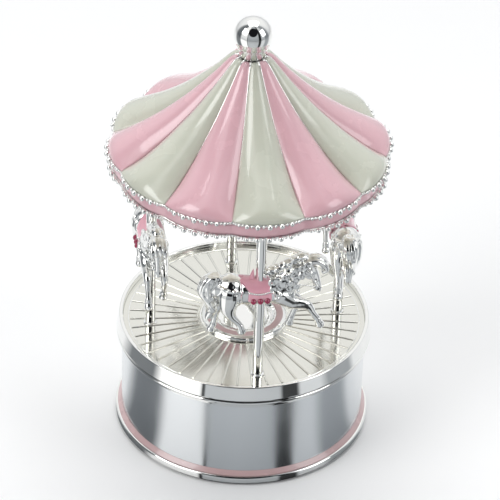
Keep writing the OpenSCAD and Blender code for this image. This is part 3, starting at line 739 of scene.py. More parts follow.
def eased(spine, steps=4):
    """Catmull-Rom points along a spine whose points are tuples of any length."""
    out = []
    last = len(spine) - 1
    for i in range(last):
        a, b, c, d = (spine[max(i - 1, 0)], spine[i], spine[i + 1], spine[min(i + 2, last)])
        for k in range(steps):
            t = k / steps
            point = []
            for p, q, r, s in zip(a, b, c, d):
                square = (2 * p - 5 * q + 4 * r - s) * t**2
                cube = (3 * q - p - 3 * r + s) * t**3
                point.append(0.5 * (2 * q + (r - p) * t + square + cube))
            out.append(tuple(point))
    out.append(tuple(spine[-1]))
    return out


def limb(bm, spine, flat=1.0, sides=14, steps=4):
    """Skins a round-ended limb over a spine of (x, y, z, radius), narrowed across by flat."""
    path = eased(spine, steps)
    centres = [Vector(p[:3]) for p in path]
    radii = [max(p[3], 0.05) for p in path]
    tangents = []
    for i in range(len(centres)):
        tangents.append((centres[min(i + 1, len(centres) - 1)] - centres[max(i - 1, 0)]).normalized())
    side = Vector((1, 0, 0))
    rings = []

    def ring(centre, tangent, radius):
        nonlocal side
        side = (side - tangent * side.dot(tangent)).normalized()
        up = tangent.cross(side)
        made = []
        for i in range(sides):
            turn = 2 * math.pi * i / sides
            reached = side * math.cos(turn) * flat + up * math.sin(turn)
            made.append(bm.verts.new(centre + reached * radius))
        rings.append(made)

    for depth in (0.95, 0.7, 0.35):
        ring(centres[0] - tangents[0] * radii[0] * depth, tangents[0], radii[0] * math.sqrt(1 - depth**2))
    for centre, tangent, radius in zip(centres, tangents, radii):
        ring(centre, tangent, radius)
    for depth in (0.35, 0.7, 0.95):
        ring(centres[-1] + tangents[-1] * radii[-1] * depth, tangents[-1],
             radii[-1] * math.sqrt(1 - depth**2))
    for one, two in zip(rings, rings[1:]):
        for i in range(sides):
            j = (i + 1) % sides
            bm.faces.new((one[i], one[j], two[j], two[i]))
    bm.faces.new(rings[0])
    bm.faces.new(rings[-1])


TORSO = [
    (0, -16.6, 2.2, 3.9),
    (0, -12.8, 1.4, 6.3),
    (0, -8.0, 0.2, 5.7),
    (0, -2.0, -0.6, 5.3),
    (0, 3.0, -0.4, 5.4),
    (0, 7.4, 0.4, 5.8),
    (0, 10.6, 1.8, 4.6),
]
TORSO_FLAT = 0.92


def add_body(bm):
    """Barrel, neck, head and lower jaw, then the ears, eyes, nostrils and bit of each side."""
    limb(bm, TORSO, TORSO_FLAT, sides=24)
    neck = [(0, 5.5, 1.5, 5.0), (0, 10.0, 5.4, 4.5), (0, 13.4, 8.6, 3.6), (0, 16.6, 10.6, 2.9)]
    head = [(0, 16.4, 10.2, 2.9), (0, 19.0, 8.8, 2.9), (0, 20.8, 5.6, 2.2), (0, 22.0, 2.2, 1.7)]
    head += [(0, 22.4, -0.4, 1.75)]
    limb(bm, neck, 0.78, sides=18)
    limb(bm, head, 0.78, sides=18)
    limb(bm, [(0, 18.6, 7.4, 2.2), (0, 19.6, 5.6, 1.8)], 1.05)
    for s in (-1, 1):
        limb(bm, [(s * 1.2, 17.6, 11.4, 1.0), (s * 1.6, 18.0, 13.0, 0.7), (s * 1.7, 18.8, 14.2, 0.2)])
        limb(bm, [(s * 1.9, 20.1, 7.6, 0.55), (s * 2.0, 20.4, 7.2, 0.45)], steps=1)
        limb(bm, [(s * 1.1, 23.4, 0.4, 0.4), (s * 1.1, 23.6, -0.4, 0.35)], steps=1)
        limb(bm, [(s * 1.0, 23.2, -1.6, 0.5), (s * 0.2, 23.9, -1.5, 0.4)], steps=1)


def add_leg(bm, spine, hoof):
    limb(bm, spine, 0.85)
    x, y, z, _ = spine[-1]
    hx, hy, hz = hoof
    limb(bm, [(x, y, z, 1.5), ((x + hx) / 2, (y + hy) / 2, (z + hz) / 2, 1.45), (hx, hy, hz, 1.9)], steps=2)


def add_legs(bm):
    """Four legs: near hind one gathered, far one back; near foreleg reaching, far one folded."""
    near_hind = [(2.8, -12.2, -0.4, 4.9), (3.4, -12.8, -5.4, 3.5), (3.6, -11.6, -9.6, 2.0)]
    near_hind += [(3.6, -9.2, -12.6, 1.35), (3.6, -8.0, -14.6, 1.45)]
    far_hind = [(-2.8, -12.8, -0.6, 4.8), (-3.5, -14.0, -6.0, 3.4), (-3.6, -16.6, -11.2, 1.9)]
    far_hind += [(-3.6, -17.0, -15.4, 1.3), (-3.6, -17.6, -18.0, 1.4)]
    near_fore = [(2.7, 8.2, -1.8, 3.9), (3.3, 12.6, -4.6, 2.8), (3.5, 18.0, -6.2, 2.0)]
    near_fore += [(3.5, 20.6, -10.4, 1.35), (3.5, 22.4, -13.4, 1.45)]
    far_fore = [(-2.7, 8.4, -1.8, 3.8), (-3.3, 12.4, -5.6, 2.6), (-3.5, 15.8, -9.2, 1.8)]
    far_fore += [(-3.5, 14.2, -14.0, 1.25), (-3.5, 13.2, -17.0, 1.35)]
    add_leg(bm, near_hind, (3.6, -7.4, -16.8))
    add_leg(bm, far_hind, (-3.6, -18.4, -20.2))
    add_leg(bm, near_fore, (3.5, 23.4, -15.8))
    add_leg(bm, far_fore, (-3.5, 12.4, -19.4))


def add_curl(bm, centre, size, turn, side, thick):
    """A scroll of hair lying on the horse's side: a spiral that winds in to a raised button."""
    spine = []
    for k in range(11):
        f = k / 10
        reach_out = size * (1 - 0.82 * f)
        angle = turn + side * 2 * math.pi * 1.15 * f
        rise = side * 0.9 * f * thick
        y = centre[1] + reach_out * math.cos(angle)
        z = centre[2] + reach_out * math.sin(angle)
        spine.append((centre[0] + rise, y, z, thick * (0.55 + 0.45 * math.sin(math.pi * min(1, f * 1.2)))))
    limb(bm, spine, sides=8, steps=2)


def add_mane(bm, dice):
    """Rows of scrolls down both sides of the neck, a combed crest, and a tossed forelock."""
    start, end = Vector((0, 3.6, 3.4)), Vector((0, 18.4, 10.8))
    along = (end - start).normalized()
    across = Vector((0, -along.z, along.y))
    columns = 7
    for s in (-1, 1):
        for row, (offset, width) in enumerate(((4.3, 1.3), (1.5, 3.5), (-1.5, 4.1), (-4.2, 3.9))):
            for column in range(columns):
                f = (column + 0.5 * (row % 2)) / (columns - 0.5)
                if offset < -3 and f > 0.55:
                    continue
                spot = start.lerp(end, f) + across * (offset + dice.uniform(-0.3, 0.3))
                lean = width * (1 - 0.25 * f)
                size = dice.uniform(1.5, 2.1)
                add_curl(bm, (s * lean, spot.y, spot.z), size, dice.uniform(0, 6.3), s, 0.72)
    for f in (0.0, 0.14, 0.28, 0.42, 0.56, 0.7, 0.84, 1.0):
        root = start.lerp(end, f) + across * 3.6
        tip = root + across * 2.2 - along * dice.uniform(1.6, 2.8)
        halfway = (root + tip) / 2
        lock = [(0, *root.yz, 1.7), (0, *halfway.yz, 1.5), (dice.uniform(-0.6, 0.6), *tip.yz, 0.6)]
        limb(bm, lock, sides=10)
    for x, rise in ((-2.0, 0.0), (-0.7, 0.9), (0.7, 0.9), (2.0, 0.0)):
        forelock = [(x * 0.5, 17.4, 12.2, 1.2), (x, 20.6, 13.2 + rise * 0.6, 1.25)]
        forelock += [(x * 1.2, 24.0, 11.8 + rise, 1.1), (x * 1.3, 25.6, 9.4 + rise, 0.85)]
        forelock += [(x * 1.1, 24.2, 7.8 + rise, 0.6), (x, 23.4, 8.8 + rise, 0.35)]
        limb(bm, forelock, sides=8)
    for s in (-1, 1):
        add_curl(bm, (s * 2.5, 18.8, 6.8), 1.5, 1.0, s, 0.6)


def add_tail(bm, dice):
    """A thick tail that rises from the croup, bows out and curls under in waving strands."""
    core = [(-15.6, 4.6), (-18.0, 7.4), (-20.6, 5.4), (-21.6, 0.6), (-20.0, -4.2), (-19.0, -8.8)]
    path = eased(core + [(-20.2, -12.2)], 3)
    strands = 11
    for i in range(strands):
        spin = 2 * math.pi * i / strands
        swing = dice.uniform(0, 6.3)
        spine = []
        for k, (y, z) in enumerate(path):
            f = k / (len(path) - 1)
            body = 0.4 + 2.0 * math.sin(math.pi * min(1, 0.12 + f * 0.8))
            wave = 0.45 * math.sin(f * 13 + swing)
            turn = spin + 1.6 * f
            x = body * math.cos(turn) + wave * 0.6
            spine.append((x, y + body * math.sin(turn) * 0.8 + wave, z, 0.95 - 0.55 * f * f))
        limb(bm, spine, sides=8, steps=2)
    for s in (-1, 1):
        add_curl(bm, (s * 1.6, -17.8, 5.0), 1.9, 2.4, s, 0.8)
        add_curl(bm, (s * 2.2, -19.4, -1.0), 1.7, 0.4, s, 0.75)
        add_curl(bm, (s * 1.8, -19.0, -7.0), 1.4, 3.4, s, 0.65)


def around_torso(y, angle, out):
    """Point on the barrel's skin at y, angle from the top towards the outer side, raised by out."""
    stretch = eased(TORSO, 8)
    for a, b in zip(stretch, stretch[1:]):
        if a[1] <= y <= b[1]:
            t = (y - a[1]) / (b[1] - a[1])
            z = a[2] + (b[2] - a[2]) * t
            radius = a[3] + (b[3] - a[3]) * t
            x = (radius * TORSO_FLAT + out) * math.sin(angle)
            return Vector((x, y, z + (radius + out) * math.cos(angle)))
    raise ValueError(f"y {y} is off the barrel")


def add_harness(bm):
    """Straps cast in one with the horse: girths, breast strap, crupper and bridle."""
    for y in (-8.6, 5.6):
        loop = [around_torso(y, math.radians(a), 0.1) for a in range(0, 361, 20)]
        limb(bm, [(*p, 0.45) for p in loop], sides=8, steps=2)
    for s in (-1, 1):
        breast = [(s * 5.6, 4.6, 1.6, 0.45), (s * 5.4, 8.6, 0.2, 0.5), (s * 3.4, 12.2, -0.8, 0.55)]
        crupper = [(s * 5.3, -8.0, 2.6, 0.4), (s * 5.3, -12.4, 3.6, 0.4), (s * 3.2, -16.6, 4.8, 0.4)]
        cheek = [(s * 2.5, 18.0, 9.6, 0.35), (s * 2.4, 20.0, 5.0, 0.35), (s * 1.8, 22.2, 0.8, 0.35)]
        rein = [(s * 1.9, 22.0, 0.8, 0.3), (s * 3.4, 15.6, 3.4, 0.3), (s * 4.2, 9.0, 5.4, 0.3)]
        limb(bm, breast + [(0, 13.9, -1.2, 0.6)], sides=8)
        limb(bm, crupper, sides=8)
        limb(bm, cheek, sides=8)
        limb(bm, rein + [(s * 2.4, 3.6, 6.2, 0.3)], sides=8)
    limb(bm, [(1.9, 21.0, 3.2, 0.35), (0, 23.2, 3.8, 0.35), (-1.9, 21.0, 3.2, 0.35)], sides=8)


def harness_spots():
    """Small cast bosses along the breast strap, the rump straps and the bridle: (place, radius)."""
    spots = []
    for s in (-1, 1):
        for t in (0.1, 0.3, 0.5, 0.7, 0.9):
            spots.append((Vector((s * (5.7 - 5.4 * t**1.6), 5.4 + 9.0 * t, 1.4 - 3.0 * t)), 0.85))
            spots.append((Vector((s * (5.9 - 5.4 * t**1.6), 5.2 + 9.0 * t, -0.6 - 3.0 * t)), 0.55))
        for y in (-15.0, -13.0, -11.0):
            spots.append((Vector((s * (5.6 - 0.28 * abs(y + 11)), y, 3.6 + 0.1 * abs(y + 11))), 0.6))
        for y, z in ((18.2, 9.0), (20.0, 5.2), (22.0, 1.2)):
            spots.append((Vector((s * 2.6 - s * (y - 18.2) * 0.16, y, z)), 0.6))
    spots.append((Vector((0, 14.6, -1.6)), 1.15))
    spots.append((Vector((0, 20.6, 9.6)), 0.8))
    return spots


def horse_mesh(look):
    """One leaping horse in millimetres: limbs melted together by a voxel remesh, then eased."""
    bm = bmesh.new()
    dice = random.Random(look.seed)
    add_body(bm)
    add_legs(bm)
    add_mane(bm, dice)
    add_tail(bm, dice)
    add_harness(bm)
    for place, radius in harness_spots():
        bmesh.ops.create_icosphere(bm, subdivisions=2, radius=radius, matrix=Matrix.Translation(place))
    rough = smooth_mesh(bm, "horse_rough")
    carrier = bpy.data.objects.new("horse_carrier", rough)
    bpy.context.scene.collection.objects.link(carrier)
    melt = carrier.modifiers.new("Melt", "REMESH")
    melt.mode = "VOXEL"
    melt.voxel_size = look.voxel / MM
    ease = carrier.modifiers.new("Ease", "SMOOTH")
    ease.factor = 0.5
    ease.iterations = 2
    depsgraph = bpy.context.evaluated_depsgraph_get()
    mesh = bpy.data.meshes.new_from_object(carrier.evaluated_get(depsgraph), depsgraph=depsgraph)
    bpy.data.objects.remove(carrier)
    mesh.shade_smooth()
    return mesh


def at_pole(quarter):
    """Matrix from a horse's own frame in millimetres to the row frame at one pole."""
    angle = PHASE + QUARTERS.index(quarter) * math.pi / 2
    barrel = middle("gems_" + quarter).z + 2.4 * HORSE_SIZE
    turn = Matrix.Rotation(angle, 4, "Z")
    return turn @ Matrix.Translation((POLE_CIRCLE, 0, barrel)) @ Matrix.Scale(HORSE_SIZE, 4)


class CAROUSEL_OT_horses(bpy.types.Operator):
    """Cast one horse and set a copy on every pole"""

    bl_idname = "carousel.horses"
    bl_label = "Horses"

    def execute(self, context):
        pattern = horse_mesh(context.scene.carousel_horse)
        for quarter in QUARTERS:
            mesh = pattern.copy()
            mesh.transform(at_pole(quarter))
            name = "steed_" + quarter
            mesh.name = name
            link_piece(name, mesh, "silver_plate", "carousel", ["horse_" + quarter])
        bpy.data.meshes.remove(pattern)
        return {"FINISHED"}


# ---------------------------------------------------------------- saddles


def between(knots, x):
    """Straight-line value at x from knots of (x, value)."""
    for (x0, v0), (x1, v1) in zip(knots, knots[1:]):
        if x <= x1:
            return v0 + (v1 - v0) * max(0, (x - x0)) / (x1 - x0)
    return knots[-1][1]


def hide_patch(back, front, start, end, out, thick):
    """A patch laid over the barrel from angle start to end; back and front give its y at each angle."""
    bm = bmesh.new()
    rows, columns = 48, 28
    grids = []
    for raise_by in (out, out - thick):
        grid = []
        for i in range(rows + 1):
            angle = start + (end - start) * i / rows
            y0, y1 = between(back, abs(angle)), between(front, abs(angle))
            row = []
            for j in range(columns + 1):
                f = j / columns
                edge = min(f, 1 - f, i / rows if start > -1 else 1, 1 - i / rows if start > -1 else 1)
                crown = 0.16 * min(1, edge * 9) if raise_by == out else 0
                spot = around_torso(y0 + (y1 - y0) * f, math.radians(angle), raise_by + crown)
                row.append(bm.verts.new(spot))
            grid.append(row)
        grids.append(grid)
    outer, inner = grids
    for i in range(rows):
        for j in range(columns):
            for grid in (outer, inner):
                bm.faces.new((grid[i][j], grid[i][j + 1], grid[i + 1][j + 1], grid[i + 1][j]))
    for i in range(rows):
        for j in (0, columns):
            bm.faces.new((outer[i][j], outer[i + 1][j], inner[i + 1][j], inner[i][j]))
    for j in range(columns):
        for i in (0, rows):
            bm.faces.new((outer[i][j], outer[i][j + 1], inner[i][j + 1], inner[i][j]))
    return bm


def saddle_mesh():
    """Saddle with pointed flaps, a cloth below it on both sides, and a horn behind the pole."""
    back = [(0, -7.2), (16, -8.4), (40, -6.4), (66, -4.6)]
    front = [(0, 2.6), (20, 4.0), (38, 5.4), (52, 4.2), (66, 3.0)]
    bm = hide_patch(back, front, -66, 66, 0.75, 0.65)
    for s in (-1, 1):
        hem_back = [(60, -5.0), (104, -5.4)]
        hem_front = [(60, 3.6), (104, 3.8)]
        cloth = hide_patch(hem_back, hem_front, s * 60, s * 104, 0.5, 0.45)
        scrap = bpy.data.meshes.new("scrap")
        cloth.to_mesh(scrap)
        cloth.free()
        bm.from_mesh(scrap)
        bpy.data.meshes.remove(scrap)
    limb(bm, [(0, -3.6, 5.2, 1.1), (0, -3.3, 7.4, 0.8), (0, -3.0, 9.8, 0.15)], sides=12)
    limb(bm, [(0, 3.4, 5.0, 1.0), (0, 3.9, 6.6, 0.8), (0, 4.2, 7.6, 0.4)], sides=12)
    return smooth_mesh(bm, "saddle")


def trim_spots():
    """Cast silver grains along the hem of the saddle's flaps."""
    spots = []
    for s in (-1, 1):
        for k in range(10):
            y = -4.7 + 7.9 * k / 9
            sag = 66 + 5 * math.sin(math.pi * k / 9)
            spots.append((around_torso(y, math.radians(s * sag), 0.7), 0.5))
    return spots


STONE_ROW = -0.7  # place of the middle stone along the horse, in its own millimetres
STONE_GAP = 2.75
HEM_ANGLE = math.radians(100)  # from the horse's back down to the stones


class CAROUSEL_OT_saddles(bpy.types.Operator):
    """Lay an enamelled saddle and cloth on every horse, with three stones on its outer hem"""

    bl_idname = "carousel.saddles"
    bl_label = "Saddles"

    def execute(self, context):
        look = context.scene.carousel_horse
        pattern = saddle_mesh()
        for quarter in QUARTERS:
            place = at_pole(quarter)
            mesh = pattern.copy()
            mesh.transform(place)
            name = "seat_" + quarter
            link_piece(name, mesh, "enamel_deep_rose", "carousel", ["saddle_" + quarter])
            trim = [(place @ spot, radius * HORSE_SIZE) for spot, radius in trim_spots()]
            beads("trim_" + quarter, trim, "silver_plate", "carousel", fineness=2)
            stones, cups = [], []
            for k in (-1, 0, 1):
                spot = around_torso(STONE_ROW + STONE_GAP * k, HEM_ANGLE, 0.9)
                stones.append((place @ spot, look.stone))
                cups.append((place @ (spot + Vector((-0.35, 0, -0.15))), look.stone * 1.08))
            beads("stones_" + quarter, stones, "stone", "carousel", ["gems_" + quarter], 2, False)
            beads("cups_" + quarter, cups, "silver_plate", "carousel", fineness=3)
        bpy.data.meshes.remove(pattern)
        return {"FINISHED"}


# ---------------------------------------------------------------- canopy

# Profiles of the canopy in millimetres, [radius, height]: along a seam and along the middle of a gore.
SEAM_LINE = [(5.6, 182.1), (7.9, 181.2), (15, 172.6), (23.4, 163.2), (31, 156), (38.3, 149.6),
             (46, 144), (51, 141.2), (55.5, 139.2)]
MID_LINE = [(5.6, 182.2), (8.6, 181.7), (15.8, 173.8), (24.5, 165.2), (32.4, 158.4), (40.2, 152.7),
            (48.2, 147.8), (53.4, 144.7), (56.8, 142.3), (58.5, 140.1)]
LINING = [(44, 141), (35, 148), (22, 160.8), (8, 176.2), (2.2, 178.2)]  # inner face, above the ceiling
HEM_DROP = 0.6 * MM  # how far the rim's hem clears the ceiling at a seam


def evenly(points, count):
    """Resamples a line of points at equal steps of length."""
    path = [Vector(p) for p in eased(points, 12)]
    along = [0]
    for a, b in zip(path, path[1:]):
        along.append(along[-1] + (b - a).length)
    out = []
    k = 0
    for i in range(count):
        want = along[-1] * i / (count - 1)
        while k < len(path) - 2 and along[k + 1] < want:
            k += 1
        t = (want - along[k]) / (along[k + 1] - along[k])
        out.append(path[k].lerp(path[k + 1], t))
    return out


class CanopyShape:
    """Where the canopy's surface is, in metres."""

    def __init__(self, look):
        self.look = look
        edge_seam = (look.seam_radius / MM, look.edge_height / MM)
        edge_mid = (look.mid_radius / MM, look.edge_height / MM)
        self.seam = [p * MM for p in evenly(SEAM_LINE + [edge_seam], 49)]
        self.mid = [p * MM for p in evenly(MID_LINE + [edge_mid], 49)]
        self.half = math.pi / look.gores
        self.start = PHASE - math.pi / 2

    def puff(self, u):
        return 1 - abs(u) ** self.look.puff_power

    def rim(self, gore, u, t, out=0.0):
        """Point of the upright rim: t is 0 at the upper beads and 1 at the lower ones."""
        w = self.puff(u)
        look = self.look
        bulge = (look.mid_radius - look.seam_radius - 1.1 * MM * t) * w
        radius = look.seam_radius + bulge - 0.3 * MM + out
        top = look.edge_height - 0.6 * MM
        hem = CEILING_Z + HEM_DROP - w * MM
        angle = self.start + (2 * gore + u) * self.half
        return Vector((radius * math.cos(angle), radius * math.sin(angle), top + (hem - top) * t))


def profile_curve(name, points):
    """A hidden curve in the XZ plane that the panel tree samples."""
    curve = bpy.data.curves.new(name, "CURVE")
    curve.dimensions = "3D"
    line = curve.splines.new("POLY")
    line.points.add(len(points) - 1)
    for spot, point in zip(line.points, points):
        spot.co = (point.x, 0, point.y, 1)
    holder = bpy.data.objects.new(name, curve)
    bpy.context.scene.collection.objects.link(holder)
    return holder


def panel_tree():
    """Enamel panels: a grid bent between a seam profile and a mid profile, closed, then spun."""
    wiring = Wiring("Gore panels")
    seam = wiring.size("Seam profile", "Object")
    mid = wiring.size("Mid profile", "Object")
    count = wiring.size("Panels", "Int", 6)
    turn = wiring.size("Turn")
    half = wiring.size("Half angle")
    power = wiring.size("Puff", default=2.2)
    rib = wiring.size("Rib half width")
    thick = wiring.size("Thickness")
    fineness = {"Size X": 2.0, "Size Y": 1.0, "Vertices X": 33, "Vertices Y": 97}
    grid = wiring.node("GeometryNodeMeshGrid", fineness)
    place = wiring.node("GeometryNodeInputPosition")
    split = wiring.tree.nodes.new("ShaderNodeSeparateXYZ")
    wiring.tree.links.new(place, split.inputs[0])
    across = split.outputs["X"]
    steep = wiring.math("POWER", wiring.math("ABSOLUTE", across), power)
    puff = wiring.math("SUBTRACT", 1.0, steep)
    # The panel's head is rounded off: its corners start a little further down.
    start = wiring.math("MULTIPLY", steep, 0.028)
    down = wiring.math("ADD", split.outputs["Y"], 0.5)
    along = wiring.math("ADD", start, wiring.math("MULTIPLY", down, wiring.math("SUBTRACT", 1.0, start)))

    def sampled(profile):
        shape = wiring.node("GeometryNodeObjectInfo", {"Object": profile}, out="Geometry")
        inputs = {"Curves": shape, "Factor": along}
        return wiring.node("GeometryNodeSampleCurve", inputs, out="Position", use_all_curves=True)

    mixed = wiring.tree.nodes.new("ShaderNodeMix")
    mixed.data_type = "VECTOR"
    wiring.tree.links.new(puff, mixed.inputs["Factor"])
    wiring.tree.links.new(sampled(seam), mixed.inputs["A"])
    wiring.tree.links.new(sampled(mid), mixed.inputs["B"])
    line = mixed.outputs["Result"]
    parts = wiring.tree.nodes.new("ShaderNodeSeparateXYZ")
    wiring.tree.links.new(line, parts.inputs[0])
    room = wiring.math("SUBTRACT", half, wiring.math("DIVIDE", rib, parts.outputs["X"]))
    angle = wiring.math("MULTIPLY", across, room)
    swing = {"Vector": line, "Angle": angle}
    bent = wiring.node("ShaderNodeVectorRotate", swing, rotation_type="Z_AXIS")
    skin = wiring.node("GeometryNodeSetPosition", {"Geometry": grid, "Position": bent})
    inward = {"Mesh": skin, "Offset Scale": wiring.math("MULTIPLY", thick, -1.0), "Individual": False}
    sunk = wiring.node("GeometryNodeExtrudeMesh", inward, out="Mesh", mode="FACES")
    both = wiring.tree.nodes.new("GeometryNodeJoinGeometry")
    wiring.tree.links.new(skin, both.inputs[0])
    wiring.tree.links.new(wiring.node("GeometryNodeFlipFaces", {"Mesh": sunk}), both.inputs[0])
    closed = wiring.node("GeometryNodeMergeByDistance", {"Geometry": both.outputs[0], "Distance": 1e-6})
    return wiring.finish(wiring.spin(closed, count, turn))


def rib_tree():
    """Seam wires: a profile curve given a round section that thins from the collar to the rim."""
    wiring = Wiring("Seam wires")
    seam = wiring.size("Seam profile", "Object")
    count = wiring.size("Count", "Int", 12)
    turn = wiring.size("Turn")
    thick = wiring.size("Radius")
    shape = wiring.node("GeometryNodeObjectInfo", {"Object": seam}, out="Geometry")
    along = wiring.node("GeometryNodeSplineParameter")
    thin = wiring.math("SUBTRACT", 1.0, wiring.math("MULTIPLY", wiring.math("SQRT", along), 0.72))
    section = wiring.node("GeometryNodeCurvePrimitiveCircle", {"Resolution": 12, "Radius": 1.0})
    scale = wiring.math("MULTIPLY", thin, thick)
    sweep = {"Curve": shape, "Profile Curve": section, "Scale": scale, "Fill Caps": True}
    solid = wiring.node("GeometryNodeCurveToMesh", sweep)
    return wiring.finish(wiring.spin(solid, count, turn))


def band_mesh(shape, name, edges, per_gore=40):
    """A closed band round the rim; edges are (t, out) corners of its section, in order."""
    bm = bmesh.new()
    rings = []
    for t, out in edges:
        ring = []
        for gore in range(shape.look.gores):
            for k in range(per_gore):
                ring.append(bm.verts.new(shape.rim(gore, 2 * k / per_gore - 1, t, out)))
        rings.append(ring)
    for one, two in zip(rings, rings[1:] + rings[:1]):
        for i in range(len(one)):
            j = (i + 1) % len(one)
            bm.faces.new((one[i], one[j], two[j], two[i]))
    return smooth_mesh(bm, name)


def shell_mesh(shape, per_gore=32):
    """The cast shell under the enamel: outer face, rim, inner lining."""
    bm = bmesh.new()
    look = shape.look
    sunk = look.enamel * 0.7
    rings = []
    for k in range(0, len(shape.seam), 2):
        rings.append(("roof", k))
    for t in (0.0, 0.12, 0.5, 0.88, 1.06):
        rings.append(("rim", t))
    inner_r = reach("ceiling_plate") + 0.3 * MM
    ledge = high("ceiling_plate").z
    lining = [(inner_r, CEILING_Z - 0.8 * MM), (inner_r, ledge), (inner_r - 1.5 * MM, ledge)]
    lining += [(r * MM, z * MM) for r, z in LINING]
    lining += [(LINING[-1][0] * MM, COLLAR_Z)]
    rings += [("lining", spot) for spot in lining]
    made = []
    for kind, value in rings:
        ring = []
        for gore in range(look.gores):
            for i in range(per_gore):
                u = 2 * i / per_gore - 1
                angle = shape.start + (2 * gore + u) * shape.half
                if kind == "roof":
                    point = shape.seam[value].lerp(shape.mid[value], shape.puff(u))
                    spot = Vector((point.x * math.cos(angle), point.x * math.sin(angle), point.y - sunk))
                elif kind == "rim":
                    spot = shape.rim(gore, u, value, -sunk)
                else:
                    spot = Vector((value[0] * math.cos(angle), value[0] * math.sin(angle), value[1]))
                ring.append(bm.verts.new(spot))
        made.append(ring)
    for one, two in zip(made, made[1:] + made[:1]):
        for i in range(len(one)):
            j = (i + 1) % len(one)
            bm.faces.new((one[i], one[j], two[j], two[i]))
    return smooth_mesh(bm, "canopy_cast")


class CAROUSEL_OT_canopy(bpy.types.Operator):
    """Raise the canopy: cast shell, rose and cream enamel panels, seam wires, rim and ceiling"""

    bl_idname = "carousel.canopy"
    bl_label = "Canopy"

    def execute(self, context):
        look = context.scene.carousel_canopy
        shape = CanopyShape(look)
        seam = profile_curve("seam_profile", shape.seam)
        mid = profile_curve("mid_profile", shape.mid)
        tree = panel_tree()
        for name, first in (("cream", 0), ("rose", 1)):
            sizes = {
                "Seam profile": seam,
                "Mid profile": mid,
                "Panels": look.gores // 2,
                "Turn": shape.start + first * 2 * shape.half,
                "Half angle": shape.half,
                "Puff": look.puff_power,
                "Rib half width": 0.05 * MM,
                "Thickness": look.enamel * 0.6,
                "Material": FINISHES["enamel_" + name],
            }
            mesh = grown("panels_" + name, tree, sizes)
            link_piece(mesh.name, mesh, None, "carousel", ["canopy_enamel_" + name])
        sizes = {
            "Seam profile": seam,
            "Count": look.gores,
            "Turn": shape.start + shape.half,
            "Radius": look.rib_width / 2,
            "Material": FINISHES["silver_plate"],
        }
        wires = grown("seam_wires", rib_tree(), sizes)
        link_piece("seam_wires", wires, None, "carousel")
        for holder in (seam, mid):
            bpy.data.objects.remove(holder)
        link_piece("canopy_cast", shell_mesh(shape), "silver_plate", "carousel", ["canopy_shell"])
        enamel = [(0.1, -0.3 * MM), (0.12, 0.0), (0.3, 0.06 * MM)]
        enamel += [(0.7, 0.06 * MM), (0.88, 0.0), (0.9, -0.3 * MM)]
        band = band_mesh(shape, "rim_band", enamel)
        link_piece("rim_band", band, "enamel_rose", "carousel", ["rim_enamel"])
        for name, t in (("upper", 0.03), ("lower", 0.97)):
            half = 0.07  # half the rail's width, as a share of the rim's height
            rail = [(t - half, 0.0), (t - half * 0.6, 0.25 * MM), (t + half * 0.6, 0.25 * MM)]
            rail += [(t + half, 0.0), (t, -0.4 * MM)]
            link_piece("rail_" + name, band_mesh(shape, "rail_" + name, rail), "silver_plate", "carousel")
        plate_r = reach("ceiling_plate") / MM
        plate_z = CEILING_Z / MM
        plate = [(0, plate_z), (plate_r, plate_z), (plate_r, plate_z + 1.2), (0, plate_z + 1.2)]
        stands_for = ["ceiling_plate"]
        turned("ceiling", plate, "silver_ceiling", "carousel", stands_for, closed=False)
        return {"FINISHED"}


class CAROUSEL_OT_rim_beads(bpy.types.Operator):
    """Set the two rows of graduated beads round the rim, small grains between the large beads"""

    bl_idname = "carousel.rim_beads"
    bl_label = "Rim beads"

    def execute(self, context):
        look = context.scene.carousel_canopy
        shape = CanopyShape(look)
        # Half a gore's beads: place from its middle to the seam, and size as a share of the largest.
        row = [(0.0, 1.0), (0.16, 0.56), (0.32, 0.97), (0.465, 0.52), (0.6, 0.84)]
        row += [(0.715, 0.46), (0.81, 0.56), (0.89, 0.38), (0.96, 0.34)]
        for name, t in (("upper", 0.0), ("lower", 0.99)):
            spots = []
            for gore in range(look.gores):
                for u, part in row:
                    for side in (-1, 1) if u else (1,):
                        radius = look.bead * part
                        spots.append((shape.rim(gore, side * u, t, radius * 0.9 + 0.2 * MM), radius))
            beads("beads_" + name, spots, "silver_plate", "carousel", ["bead_row_" + name])
        return {"FINISHED"}


class CAROUSEL_OT_finial(bpy.types.Operator):
    """Turn the ball finial with its wide tapering neck"""

    bl_idname = "carousel.finial"
    bl_label = "Finial"

    def execute(self, context):
        ball_r = reach("finial") / MM + 0.3
        ball_z = high("finial").z / MM - ball_r
        seat = high("finial_collar").z / MM
        stem = low("finial").z / MM
        outline = [(0, stem), (2.15, stem), (2.15, seat), (5.3, seat), (5.6, seat + 0.4), (6.1, seat + 2)]
        outline += arc(0, ball_z, ball_r, -33, 90, 40)[:-1]
        outline += [(0, ball_z + ball_r)]
        rounding = 0.3 * MM
        turned("ball_finial", outline, "silver_plate", "carousel", ["finial"], radius=rounding, closed=False)
        return {"FINISHED"}


# ---------------------------------------------------------------- stage


def soft_light(name, place, target, width, height, power):
    data = bpy.data.lights.new(name, "AREA")
    data.shape = "RECTANGLE"
    data.size = width
    data.size_y = height
    data.energy = power
    lamp = bpy.data.objects.new(name, data)
    lamp.location = place
    lamp.rotation_euler = (Vector(target) - Vector(place)).to_track_quat("-Z", "Y").to_euler()
    bpy.context.scene.collection.objects.link(lamp)


def card(name, corners, colour):
    """A flat matt sheet that belongs to the stage."""
    mesh = bpy.data.meshes.new(name)
    mesh.from_pydata([Vector(c) for c in corners], [], [tuple(range(len(corners)))])
    paint = bpy.data.materials.new(name)
    paint.use_nodes = True
    set_inputs(paint.node_tree.nodes["Principled BSDF"], {"Base Color": colour, "Roughness": 0.9})
    mesh.materials.append(paint)
    piece = bpy.data.objects.new(name, mesh)
    bpy.context.scene.collection.objects.link(piece)
    return piece


